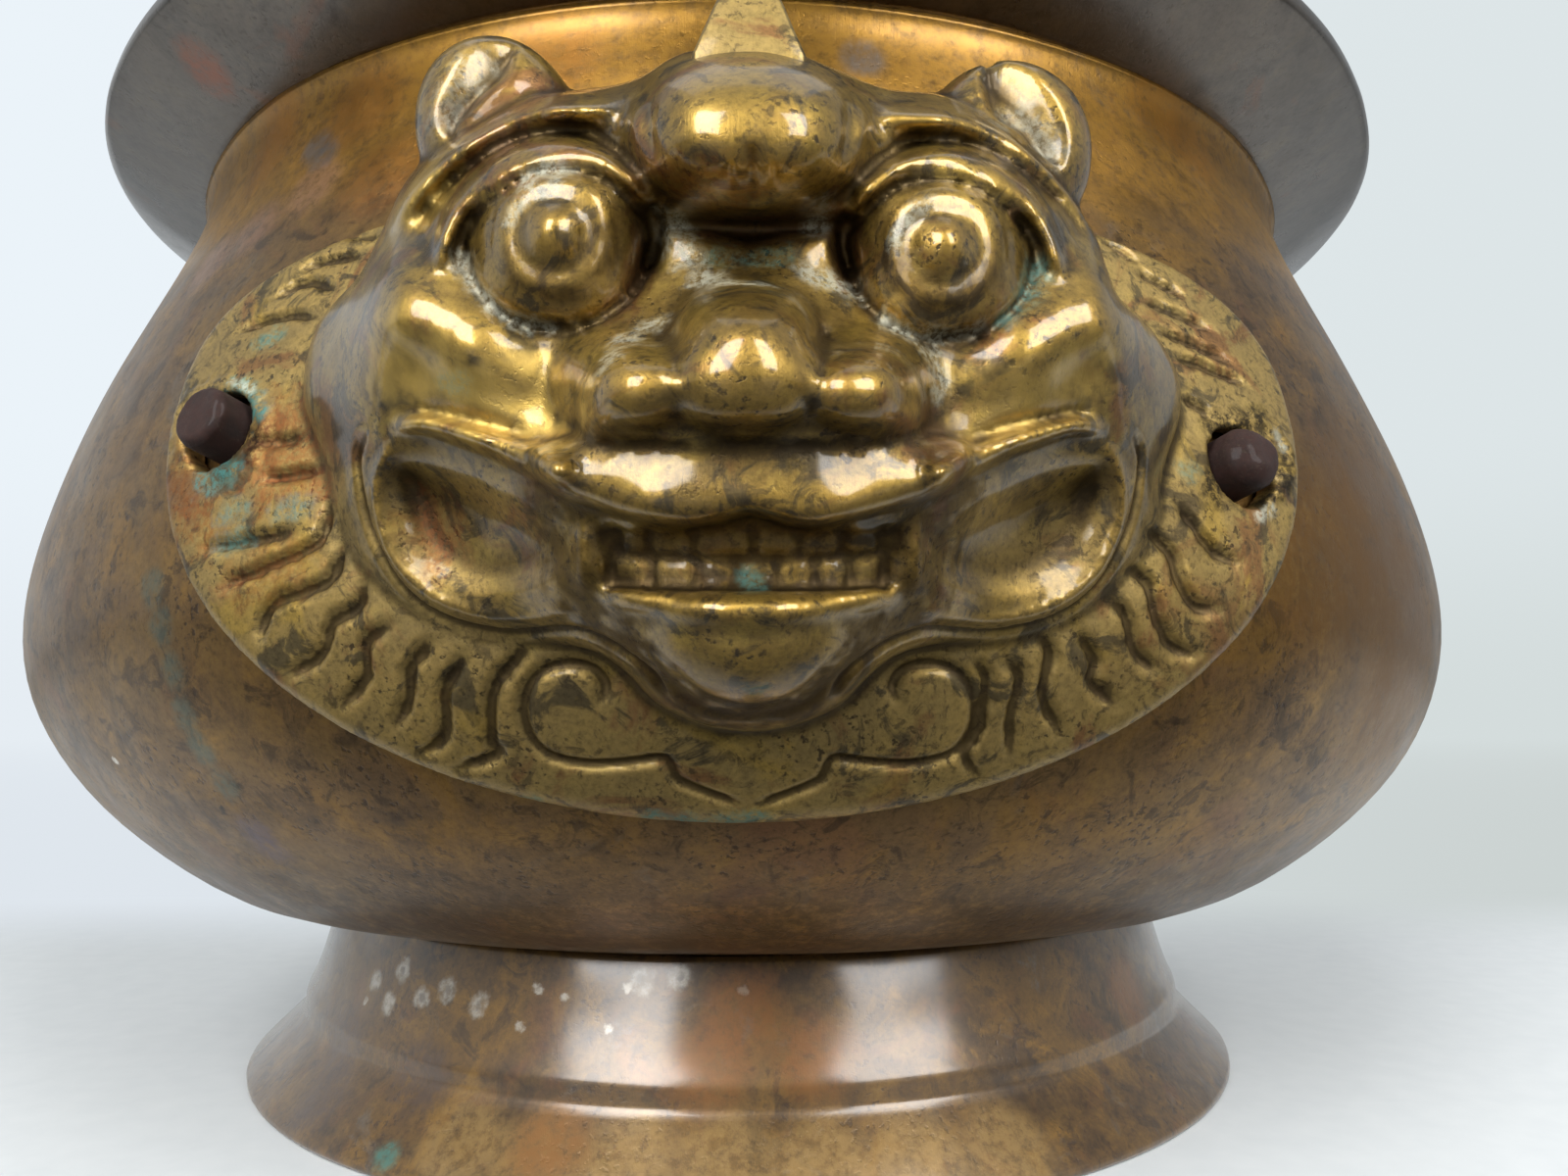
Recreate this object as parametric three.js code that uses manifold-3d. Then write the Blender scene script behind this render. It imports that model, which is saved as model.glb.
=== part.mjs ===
// A bronze censer: a bulging bowl with a flared lip and a foot ring, and a horned beast mask
// riveted on each side. Millimetres, +Z up, the foot's rest face on z = 0, the front mask facing -Y.
import * as THREE from "three";
import { mergeVertices } from "three/addons/utils/BufferGeometryUtils.js";
import Module from "manifold-3d";

const wasm = await Module();
wasm.setup();

// Clearance left where one piece seats on another.
const seatGap = 0.3;

// Bowl. The belly line is where the bowl is widest, and heights on the bowl count from it.
const bellyRadius = 114.3;
const bellyHeight = 68;
const undersideDepth = 59;
const neckRadius = 95.4;
const neckRise = 68;
const bowlWall = 3.8;
const shoulderFullness = 27;
const waistTuck = 4.8;
const waistLength = 7.5;
// Inside this radius the underside levels out towards the foot ring, by up to this much.
const undersideFlatRadius = 90;
const undersideFlatRise = 4.4;

// Lip, brazed on the neck with a spigot inside it.
const lipOverhang = 13.8;
const lipRise = 6.3;
const lipThickness = 3.7;
const lipEdgeRound = 1;
const spigotDepth = 4;

// Foot ring, brazed to the bowl's underside.
const footNeckRadius = 70.6;
const footShoulderRadius = 75;
const footShoulderHeight = 12.4;
const footBandHeight = 3.2;
const footBaseRadius = 83;
const footWall = 4;
const footEdgeChamfer = 0.7;

// Mask flange, a thin sheet that follows the bowl inside an oval outline.
const flangeThickness = 2.4;
const flangeHalfWidth = 58.6;
const flangeWaistRise = 18.4;
const flangeLowerReach = 40.6;
const flangeUpperReach = 22.5;
const flangeLowerRoundness = 2;
const flangeUpperRoundness = 3.1;

// Beast head: swellings joined to the flange. Each place is across, out from the belly line and
// up from it, each size is three half widths, and lean turns a swelling in the front view.
const skull = { place: [0, -6, 14], size: [36.5, 27, 26] };
const forehead = { place: [0, 8, 31], size: [14, 15, 10] };
const muzzle = { place: [0, 5, 1], size: [22, 14, 11] };
const noseTip = { place: [0, 20, 12], size: [8.5, 11, 7] };
const upperLip = { place: [0, 13, 4.6], size: [20, 13, 3.4] };
const lowerLip = { place: [0, 11, -4.6], size: [14, 11, 2.6] };
const chin = { place: [0, 6, -7], size: [17, 14, 8.5] };
const teeth = { place: [0, 8, -0.3], size: [15, 10, 4] };
const brow = { place: [16, 6, 29.5], size: [14, 12, 6], lean: 18 };
const eye = { place: [14.2, 11, 22.8], size: [8.4, 9, 8.4] };
const pupil = { place: [14.2, 19.2, 22.8], size: [3, 2.6, 3] };
const cheek = { place: [25, 4, 14.5], size: [11, 12, 7] };
const nostril = { place: [8.8, 17, 9.8], size: [6.5, 9, 4.8] };
const lipCorner = { place: [18, 8, 6.2], size: [10, 11, 3.4], lean: -20 };
const pouch = { place: [21, 4, 1.6], size: [11.5, 12, 8], lean: -20 };
const ear = { place: [23, 0, 40.3], size: [7.8, 6, 9], lean: 18 };
const singles = [skull, forehead, muzzle, noseTip, upperLip, lowerLip, chin];
const pairs = [brow, eye, pupil, cheek, nostril, lipCorner, pouch, ear];

// Hollows cut from the head.
const mouth = { place: [0, 20, -0.3], size: [15.5, 9, 3.2] };
const backHollow = { place: [0, -8, 14], size: [30, 23, 19] };
const earScoop = { place: [24, 5.4, 41.5], size: [4.8, 4, 6], lean: 18 };

// Horn on the crown, a four-sided spike with a tenon below.
const hornWidth = 9.4;
const hornTipWidth = 1.8;
const hornHeight = 10.5;
const hornThickness = 7;
const hornTipThickness = 1.6;
const hornFrontReach = 15.5;
const hornSeatRise = 39.8;
const tenonWidth = 5.6;
const tenonThickness = 4;
const tenonDepth = 4.5;

// Rivets: an open-ended stud through flange and bowl, with a domed head inside the bowl.
const rivetRadius = 3.3;
const rivetReach = 2.6;
const rivetEndRound = 1.6;
const rivetHeadRadius = 6.4;
const rivetHeadHeight = 3.2;
const rivetHeadDish = 0.95;
const flangeHoleSlack = 1.1;

// Each rivet's distance in from the flange's edge and down from its waist. Way is -1 on the left.
const rivetSpots = [
  { side: "left", way: -1, inset: 6.7, drop: 2.5 },
  { side: "right", way: 1, inset: 9.9, drop: 5.9 },
];

// Facets round the vessel, along its curves and on the smaller shapes.
const vesselSides = 48;
const undersideSteps = 8;
const shoulderSteps = 7;
const rivetSides = 16;
const arcSteps = 4;
const flangeSteps = 32;
const leastBallSides = 8;
const ballSidesPerWidth = 0.3;

// Makes a solid from a closed geometry.
function solidFrom(geometry) {
  const loose = geometry.index ? geometry.toNonIndexed() : geometry;
  const bare = new THREE.BufferGeometry();
  bare.setAttribute("position", loose.getAttribute("position"));
  const merged = mergeVertices(bare, 1e-4);
  const mesh = new wasm.Mesh({
    numProp: 3,
    vertProperties: merged.getAttribute("position").array,
    triVerts: new Uint32Array(merged.index.array),
  });
  return new wasm.Manifold(mesh);
}

// Gives a solid's surface back as a geometry.
function geometryFrom(solid) {
  const mesh = solid.getMesh();
  const geometry = new THREE.BufferGeometry();
  geometry.setAttribute("position", new THREE.BufferAttribute(mesh.vertProperties, 3));
  geometry.setIndex(new THREE.BufferAttribute(mesh.triVerts, 1));
  geometry.computeVertexNormals();
  return geometry;
}

// Turns a profile of [radius, height] points round the Z axis. It runs out along the bottom, up
// the outside and back along the top or the inside.
function turned(profile, sides) {
  const outline = profile.map(([radius, height]) => new THREE.Vector2(radius, height));
  return new THREE.LatheGeometry(outline, sides).rotateX(Math.PI / 2);
}

// How far the underside is raised above its oval at a radius.
function undersideRise(radius) {
  const inward = undersideFlatRadius - radius;
  return undersideFlatRise * THREE.MathUtils.smoothstep(inward, 0, undersideFlatRadius - footNeckRadius);
}

// The bowl's outside from the axis up to the neck's seam, moved out by offset.
function bowlOutline(offset) {
  const radius = bellyRadius + offset;
  const depth = undersideDepth + offset;
  const radii = [footNeckRadius - footWall, footNeckRadius];
  for (let step = 0; step < undersideSteps; step += 1) {
    radii.push(radius * Math.sin((Math.PI / 2) * (step / undersideSteps)));
  }
  radii.sort((a, b) => a - b);
  const points = radii.map((out) => {
    const oval = bellyHeight - depth * Math.sqrt(1 - (out / radius) ** 2);
    return [out, oval + undersideRise(out)];
  });
  const seam = bellyHeight + neckRise;
  const shoulder = new THREE.CubicBezierCurve(
    new THREE.Vector2(radius, bellyHeight),
    new THREE.Vector2(radius, bellyHeight + shoulderFullness),
    new THREE.Vector2(neckRadius + offset - waistTuck, seam - waistLength),
    new THREE.Vector2(neckRadius + offset, seam),
  );
  shoulder.getPoints(shoulderSteps).forEach((point) => points.push([point.x, point.y]));
  return points;
}

// The bowl's outer radius at a height above the belly line.
function bowlRadiusAt(rise) {
  const height = bellyHeight + rise;
  const outline = bowlOutline(0);
  const above = outline.findIndex((point) => point[1] > height);
  const [lowRadius, lowHeight] = outline[above - 1];
  const [highRadius, highHeight] = outline[above];
  const share = (height - lowHeight) / (highHeight - lowHeight);
  return lowRadius + share * (highRadius - lowRadius);
}

// The height of the bowl's underside at a radius.
function undersideAt(radius) {
  const oval = bellyHeight - undersideDepth * Math.sqrt(1 - (radius / bellyRadius) ** 2);
  return oval + undersideRise(radius);
}

function bowlSolid() {
  const seam = bellyHeight + neckRise;
  const innerNeck = neckRadius - bowlWall;
  const rebateRadius = neckRadius - bowlWall / 2;
  const outside = bowlOutline(0).slice(0, -1);
  const inside = bowlOutline(-bowlWall).slice(0, -1).reverse();
  const rebateFloor = seam - spigotDepth - seatGap;
  const neckTop = [
    [neckRadius, seam - seatGap],
    [rebateRadius, seam - seatGap],
    [rebateRadius, rebateFloor],
    [innerNeck, rebateFloor],
  ];
  const profile = [...outside, ...neckTop, ...inside];
  const shell = solidFrom(turned(profile, vesselSides));
  return rivetSpots.reduce((solid, spot) => {
    const hole = rivetHole(spot, rivetRadius + seatGap);
    return solid.subtract(solidFrom(hole)).subtract(solidFrom(hole.clone().rotateZ(Math.PI)));
  }, shell);
}

function lipSolid() {
  const seam = bellyHeight + neckRise;
  const innerNeck = neckRadius - bowlWall;
  const lipRadius = neckRadius + lipOverhang;
  const spigotRadius = neckRadius - bowlWall / 2 - seatGap;
  const edgeBottom = seam + lipRise;
  const edgeTop = edgeBottom + lipThickness;
  const profile = [
    [innerNeck, seam - spigotDepth],
    [spigotRadius, seam - spigotDepth],
    [spigotRadius, seam],
    [neckRadius, seam],
    [(neckRadius + lipRadius) / 2, seam + lipRise * 0.4],
    [lipRadius, edgeBottom],
    [lipRadius, edgeTop - lipEdgeRound],
    [lipRadius - lipEdgeRound, edgeTop],
    [(innerNeck + lipRadius) / 2, seam + lipRise * 0.4 + lipThickness],
    [innerNeck, seam + lipThickness],
    [innerNeck, seam - spigotDepth],
  ];
  return solidFrom(turned(profile, vesselSides));
}

function footSolid() {
  const seatInner = footNeckRadius - footWall;
  const shoulderInner = footShoulderRadius - footWall;
  const baseInner = footBaseRadius - footWall;
  const bandBottom = footShoulderHeight - footBandHeight;
  const spread = footBaseRadius - footShoulderRadius;
  const flare = new THREE.CubicBezierCurve(
    new THREE.Vector2(footBaseRadius, footEdgeChamfer),
    new THREE.Vector2(footBaseRadius - spread * 0.1, footEdgeChamfer + bandBottom * 0.15),
    new THREE.Vector2(footShoulderRadius + spread * 0.4, bandBottom * 0.6),
    new THREE.Vector2(footShoulderRadius, bandBottom),
  );
  const profile = [
    [baseInner, 0],
    [footBaseRadius - footEdgeChamfer, 0],
    ...flare.getPoints(arcSteps).map((point) => [point.x, point.y]),
    [footShoulderRadius, footShoulderHeight],
    [footNeckRadius, undersideAt(footNeckRadius) - seatGap],
    [seatInner, undersideAt(seatInner) - seatGap],
    [shoulderInner, footShoulderHeight],
    [shoulderInner, bandBottom - footWall / 3],
    [baseInner, footEdgeChamfer],
    [baseInner, 0],
  ];
  return solidFrom(turned(profile, vesselSides));
}

// A swelling as a squashed ball, mirrored across the mask when side is -1.
function swelling({ place, size, lean = 0 }, side = 1) {
  const sides = leastBallSides + 2 * Math.round((ballSidesPerWidth * Math.max(...size)) / 2);
  const ball = new THREE.SphereGeometry(1, sides, Math.round(sides * 0.6));
  ball.scale(...size);
  ball.rotateY(THREE.MathUtils.degToRad(lean * side));
  ball.translate(place[0] * side, -(bellyRadius + place[1]), bellyHeight + place[2]);
  return solidFrom(ball);
}

// The flange's outline seen from the front: two half ovals that meet at the waist.
function flangeOutline() {
  const shape = new THREE.Shape();
  for (let step = 0; step < flangeSteps; step += 1) {
    const angle = (2 * Math.PI * step) / flangeSteps;
    const upper = Math.sin(angle) > 0;
    const power = 2 / (upper ? flangeUpperRoundness : flangeLowerRoundness);
    const reach = upper ? flangeUpperReach : flangeLowerReach;
    const across = Math.sign(Math.cos(angle)) * Math.abs(Math.cos(angle)) ** power;
    const up = Math.sign(Math.sin(angle)) * Math.abs(Math.sin(angle)) ** power;
    const x = flangeHalfWidth * across;
    const y = bellyHeight + flangeWaistRise + reach * up;
    if (step === 0) shape.moveTo(x, y);
    else shape.lineTo(x, y);
  }
  return shape;
}

// A block the depth of the front half of the bowl, cut to a front-view shape.
function frontBlock(shape) {
  const depth = 2 * bellyRadius;
  const block = new THREE.ExtrudeGeometry(shape, { depth, bevelEnabled: false });
  return solidFrom(block.rotateX(Math.PI / 2));
}

// Everything inside the bowl's outside, moved out by offset, with a lid at the neck's seam.
function bowlFilled(offset) {
  const outline = bowlOutline(offset);
  const top = outline[outline.length - 1][1];
  return solidFrom(turned([...outline, [0, top]], vesselSides));
}

function box(width, depth, height, centre) {
  const block = new THREE.BoxGeometry(width, depth, height);
  return solidFrom(block.translate(...centre));
}

// The horn's seat on the crown, its land and its tenon's socket.
function hornSocket() {
  const floor = bellyHeight + hornSeatRise - seatGap;
  const middle = -(bellyRadius + hornFrontReach - hornThickness / 2);
  const slack = 2 * seatGap;
  const land = box(hornWidth + slack, hornThickness + slack, hornHeight, [
    0,
    middle,
    floor + hornHeight / 2,
  ]);
  const depth = tenonDepth + slack;
  const socket = box(tenonWidth + slack, tenonThickness + slack, 2 * depth, [0, middle, floor]);
  return land.add(socket);
}

function maskSolid() {
  const sheet = bowlFilled(seatGap + flangeThickness).intersect(frontBlock(flangeOutline()));
  let head = sheet;
  singles.forEach((lump) => {
    head = head.add(swelling(lump));
  });
  pairs.forEach((lump) => {
    head = head.add(swelling(lump)).add(swelling(lump, -1));
  });
  head = head.subtract(swelling(mouth)).add(swelling(teeth));
  head = head.subtract(swelling(earScoop)).subtract(swelling(earScoop, -1));
  head = head.subtract(swelling(backHollow));
  head = head.subtract(hornSocket());
  rivetSpots.forEach((spot) => {
    head = head.subtract(solidFrom(rivetHole(spot, rivetRadius + flangeHoleSlack)));
  });
  return head.subtract(bowlFilled(seatGap));
}

// A tapering outline, drawn round its middle line from z = 0 up.
function taper(baseWidth, tipWidth, height) {
  return new THREE.Shape([
    new THREE.Vector2(-baseWidth / 2, 0),
    new THREE.Vector2(baseWidth / 2, 0),
    new THREE.Vector2(tipWidth / 2, height),
    new THREE.Vector2(-tipWidth / 2, height),
  ]);
}

// The spike is what its front view and its side view have in common.
function hornGeometry() {
  const across = new THREE.ExtrudeGeometry(taper(hornWidth, hornTipWidth, hornHeight), {
    depth: 2 * hornThickness,
    bevelEnabled: false,
  });
  const along = new THREE.ExtrudeGeometry(taper(hornThickness, hornTipThickness, hornHeight), {
    depth: 2 * hornWidth,
    bevelEnabled: false,
  });
  const frontView = solidFrom(across.rotateX(Math.PI / 2).translate(0, hornThickness, 0));
  const sideView = solidFrom(
    along
      .rotateX(Math.PI / 2)
      .rotateZ(Math.PI / 2)
      .translate(-hornWidth, 0, 0),
  );
  const tenonTop = Math.min(tenonDepth, hornHeight) / 2;
  const tenonHeight = tenonDepth + tenonTop;
  const tenonMiddle = tenonTop - tenonHeight / 2;
  const tenon = box(tenonWidth, tenonThickness, tenonHeight, [0, 0, tenonMiddle]);
  return geometryFrom(frontView.intersect(sideView).add(tenon));
}

// Where a rivet crosses the bowl's outside, and the way its stud points: square to the wall
// that its head spans.
function rivetAxis({ way, inset, drop }) {
  const rise = flangeWaistRise - drop;
  const radius = bowlRadiusAt(rise);
  const fall = bowlRadiusAt(rise - rivetHeadRadius) - bowlRadiusAt(rise + rivetHeadRadius);
  const lean = Math.atan(fall / (2 * rivetHeadRadius));
  const around = way * Math.asin((flangeHalfWidth - inset) / radius);
  const outward = new THREE.Vector3(Math.sin(around), -Math.cos(around), 0);
  const place = outward.clone().multiplyScalar(radius).setZ(bellyHeight + rise);
  const pointing = outward.clone().multiplyScalar(Math.cos(lean)).setZ(Math.sin(lean));
  return { place, pointing };
}

// A drill through flange and bowl along a rivet's axis.
function rivetHole(spot, radius) {
  const { place, pointing } = rivetAxis(spot);
  const length = 2 * (bowlWall + flangeThickness + rivetReach + rivetHeadHeight);
  const drill = new THREE.CylinderGeometry(radius, radius, length, rivetSides);
  const turn = new THREE.Quaternion();
  turn.setFromUnitVectors(new THREE.Vector3(0, 1, 0), pointing);
  return drill.applyQuaternion(turn).translate(place.x, place.y, place.z);
}

// The head's underside is dished, so that its rim clears the curved wall.
function rivetGeometry() {
  const headTop = -bowlWall - seatGap;
  const headBottom = headTop - rivetHeadHeight;
  const end = seatGap + flangeThickness + rivetReach;
  const profile = [[0, headBottom]];
  for (let step = 1; step <= arcSteps; step += 1) {
    const angle = (Math.PI / 2) * (step / arcSteps);
    const height = headBottom + (rivetHeadHeight - rivetHeadDish) * (1 - Math.cos(angle));
    profile.push([rivetHeadRadius * Math.sin(angle), height]);
  }
  profile.push([rivetRadius, headTop]);
  for (let step = 0; step <= arcSteps; step += 1) {
    const angle = (Math.PI / 2) * (step / arcSteps);
    const radius = rivetRadius - rivetEndRound * (1 - Math.cos(angle));
    profile.push([radius, end - rivetEndRound * (1 - Math.sin(angle))]);
  }
  profile.push([0, end]);
  return turned(profile, rivetSides);
}

const bowlBronze = new THREE.MeshStandardMaterial({
  color: "#7d5c34",
  roughness: 0.38,
  metalness: 0.9,
});
const maskBronze = new THREE.MeshStandardMaterial({
  color: "#8a7036",
  roughness: 0.3,
  metalness: 0.95,
});
const rivetCopper = new THREE.MeshStandardMaterial({
  color: "#3a1d18",
  roughness: 0.35,
  metalness: 0.6,
});

function addMesh(group, name, geometry, material) {
  const mesh = new THREE.Mesh(geometry, material);
  mesh.name = name;
  group.add(mesh);
  return mesh;
}

// One mask with its horn and two rivets, facing -Y.
function addMaskSet(group, end, shape) {
  addMesh(group, `${end}_mask`, shape.mask, maskBronze);
  const horn = addMesh(group, `${end}_horn`, shape.horn, maskBronze);
  const hornMiddle = -(bellyRadius + hornFrontReach - hornThickness / 2);
  horn.position.set(0, hornMiddle, bellyHeight + hornSeatRise);
  rivetSpots.forEach((spot) => {
    const rivet = addMesh(group, `${end}_${spot.side}_rivet`, shape.rivet, rivetCopper);
    const { place, pointing } = rivetAxis(spot);
    rivet.position.copy(place);
    rivet.quaternion.setFromUnitVectors(new THREE.Vector3(0, 0, 1), pointing);
  });
}

const censer = new THREE.Group();
addMesh(censer, "bowl", geometryFrom(bowlSolid()), bowlBronze);
addMesh(censer, "rim_lip", geometryFrom(lipSolid()), bowlBronze);
addMesh(censer, "foot_ring", geometryFrom(footSolid()), bowlBronze);

const maskShapes = {
  mask: geometryFrom(maskSolid()),
  horn: hornGeometry(),
  rivet: rivetGeometry(),
};
const front = new THREE.Group();
const rear = new THREE.Group();
rear.rotation.z = Math.PI;
addMaskSet(front, "front", maskShapes);
addMaskSet(rear, "rear", maskShapes);
censer.add(front, rear);

export default censer;
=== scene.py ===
import math

import bmesh
import bpy
import numpy
from mathutils import Matrix, Vector, noise
from mathutils.bvhtree import BVHTree
from mathutils.kdtree import KDTree


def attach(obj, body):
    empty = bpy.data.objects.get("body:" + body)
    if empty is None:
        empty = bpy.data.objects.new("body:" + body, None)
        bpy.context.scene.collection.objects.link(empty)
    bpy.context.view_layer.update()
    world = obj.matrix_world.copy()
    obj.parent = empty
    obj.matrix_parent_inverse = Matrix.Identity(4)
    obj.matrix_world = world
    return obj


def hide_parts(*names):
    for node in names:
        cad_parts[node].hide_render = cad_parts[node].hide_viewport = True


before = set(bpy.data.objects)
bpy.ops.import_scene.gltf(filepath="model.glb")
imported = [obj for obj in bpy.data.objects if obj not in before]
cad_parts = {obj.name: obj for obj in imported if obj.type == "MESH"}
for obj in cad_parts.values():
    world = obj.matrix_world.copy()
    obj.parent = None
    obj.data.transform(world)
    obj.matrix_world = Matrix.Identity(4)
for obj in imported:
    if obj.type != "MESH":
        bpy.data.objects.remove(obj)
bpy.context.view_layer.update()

mm = 0.001  # the sizes below are millimetres, the scene is metres


# Helpers

def placed(name, data):
    # an object for a mesh, camera or lamp, in the scene
    thing = bpy.data.objects.new(name, data)
    bpy.context.scene.collection.objects.link(thing)
    return thing


def meshOf(name, bm):
    # the mesh of bm, which is used up
    mesh = bpy.data.meshes.new(name)
    bm.to_mesh(mesh)
    bm.free()
    return mesh


def newPiece(name, bm):
    # a finished mesh becomes an object at the origin, smooth shaded
    mesh = meshOf(name, bm)
    mesh.polygons.foreach_set("use_smooth", [True] * len(mesh.polygons))
    return placed(name, mesh)


def modified(bm, modifiers, group=None):
    # the mesh that modifiers make of bm, which is used up; they can name a group of its points
    piece = newPiece("draft", bm)
    if group:
        piece.vertex_groups.new(name="group").add(group, 1.0, "REPLACE")
    for kind, settings in modifiers.items():
        modifier = piece.modifiers.new(kind, kind)
        for key, value in settings.items():
            setattr(modifier, key, value)
    result = bpy.data.meshes.new_from_object(piece.evaluated_get(bpy.context.evaluated_depsgraph_get()))
    bpy.data.meshes.remove(piece.data)
    return result


def bezierPoints(p0, p1, p2, p3, steps):
    # points of a cubic curve, both ends included
    points = []
    for i in range(steps + 1):
        t = i / steps
        s = 1 - t
        w = (s ** 3, 3 * s * s * t, 3 * s * t * t, t ** 3)
        points.append(tuple(sum(k * p[a] for k, p in zip(w, (p0, p1, p2, p3))) for a in (0, 1)))
    return points


def turnedPiece(name, profile, segments, ripples, keep=lambda place: True, lie=Matrix()):
    # turns a closed or axis-to-axis profile of (radius, height) in mm round Z, and then pushes its
    # surface in and out a little, as hand-finished casting is, in ripples of (width, height) in mm
    bm = bmesh.new()
    verts = [bm.verts.new((r * mm, 0, z * mm)) for r, z in profile]
    edges = [bm.edges.new(pair) for pair in zip(verts, verts[1:])]
    if profile[0][0] > 0:
        edges.append(bm.edges.new((verts[-1], verts[0])))
    bmesh.ops.spin(
        bm, geom=verts + edges, cent=(0, 0, 0), axis=(0, 0, 1),
        angle=2 * math.pi, steps=segments, use_merge=True,
    )
    bmesh.ops.remove_doubles(bm, verts=bm.verts, dist=0.002 * mm)
    bmesh.ops.recalc_face_normals(bm, faces=bm.faces)
    for width, height in ripples:
        ripple(bm, width, height, keep)
    bm.transform(lie)
    return newPiece(name, bm)


def ripple(bm, width, height, keep=lambda place: True):
    bm.normal_update()
    for v in bm.verts:
        if keep(v.co):
            push = noise.noise(v.co / (width * mm)) * height * mm
            v.co += v.normal * push


# Camera, fitted to the outlines of the lip, belly and foot

cameraFit = {
    "sensor": 36,         # width in mm
    "lens": 25.47,        # mm
    "distance": 212.2,    # mm in front of the vessel's axis
    "height": 56.1,       # mm above the table
    "tiltUp": 6.33,       # degrees
    "turnRight": 1.909,   # degrees
}


def makeCamera():
    data = bpy.data.cameras.new("camera")
    data.sensor_width = cameraFit["sensor"]
    data.lens = cameraFit["lens"]
    data.clip_start = 0.005
    camera = placed("camera", data)
    camera.location = (0, -cameraFit["distance"] * mm, cameraFit["height"] * mm)
    tilt = math.radians(90 + cameraFit["tiltUp"])
    camera.rotation_euler = (tilt, 0, -math.radians(cameraFit["turnRight"]))
    bpy.context.scene.camera = camera


makeCamera()

# Vessel

vessel = {
    "belly": (114.3, 68),          # radius and height of the widest line
    "undersideDepth": 59,          # from there down to the bottom
    "flatRadius": 90,              # inside this the underside levels out
    "flatRise": 4.4,               # by up to this much
    "neck": (95.4, 136),           # radius and height of the neck's seam
    "shoulderFullness": 27,
    "waistTuck": 4.8,
    "waistLength": 7.5,
    "wall": 3.8,
    "segments": 288,
    "steps": (36, 44),             # along the underside and the shoulder
    "innerSteps": (24, 24),
}
lip = {
    "overhang": 13.8,
    "rise": 6.3,
    "thickness": 3.7,
    "edgeRound": 1.3,
    "spigotDepth": 4,
}
foot = {
    "neckRadius": 70.6,
    "shoulder": (75, 12.4),
    "coneTop": 22,                 # where the cone turns up into the neck
    "bandHeight": 3.2,
    "baseRadius": 83,
    "wall": 4,
    "edgeRound": 0.7,
    "gap": 0.05,                   # between its top and the bowl
    "evenUpTo": 0.6,               # the rest face and its edge have no ripples
}
seatGap = 0.3


def undersideRise(radius):
    # how far the underside is raised above its oval
    t = (vessel["flatRadius"] - radius) / (vessel["flatRadius"] - foot["neckRadius"])
    t = max(0, min(1, t))
    return vessel["flatRise"] * t * t * (3 - 2 * t)


def bowlOutline(offset, steps):
    radius = vessel["belly"][0] + offset
    depth = vessel["undersideDepth"] + offset
    middle = vessel["belly"][1]
    points = []
    for i in range(steps[0]):
        angle = math.pi / 2 * i / steps[0]
        out = radius * math.sin(angle)
        points.append((out, middle - depth * math.cos(angle) + undersideRise(out)))
    neckRadius, seam = vessel["neck"]
    points += bezierPoints(
        (radius, middle),
        (radius, middle + vessel["shoulderFullness"]),
        (neckRadius + offset - vessel["waistTuck"], seam - vessel["waistLength"]),
        (neckRadius + offset, seam),
        steps[1],
    )
    return points


def makeBowl():
    neckRadius, seam = vessel["neck"]
    inner = neckRadius - vessel["wall"]
    rebate = neckRadius - vessel["wall"] / 2
    floor = seam - lip["spigotDepth"] - seatGap
    profile = bowlOutline(0, vessel["steps"])[:-1]
    profile += [(neckRadius, seam - 0.02), (rebate, seam - 0.02), (rebate, floor), (inner, floor)]
    profile += list(reversed(bowlOutline(-vessel["wall"], vessel["innerSteps"])[:-1]))
    return turnedPiece("bowlShell", profile, vessel["segments"], [(34, 0.35), (11, 0.07)])


def makeLip():
    neckRadius, seam = vessel["neck"]
    inner = neckRadius - vessel["wall"]
    spigot = neckRadius - vessel["wall"] / 2 - seatGap
    spigotEnd = seam - lip["spigotDepth"]
    edge = neckRadius + lip["overhang"]
    low = seam + lip["rise"]
    top = low + lip["thickness"]
    r = lip["edgeRound"]
    profile = [(inner, spigotEnd), (spigot, spigotEnd), (spigot, seam)]
    profile += bezierPoints(
        (neckRadius, seam), (neckRadius + 4, seam + 1.2), (edge - 4, low - 2.2), (edge - 0.4, low), 14,
    )
    profile += bezierPoints((edge, low + 0.5), (edge + 0.1, low + 1.4), (edge, top - r), (edge - r, top), 8)
    profile += bezierPoints(
        (edge - 3, top - 0.4), (edge - 8, top - 2.2), (inner + 4, seam + 4.2), (inner, seam + 2.6), 14,
    )
    return turnedPiece("flaredLip", profile, vessel["segments"], [(40, 0.5), (9, 0.06)])


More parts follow.
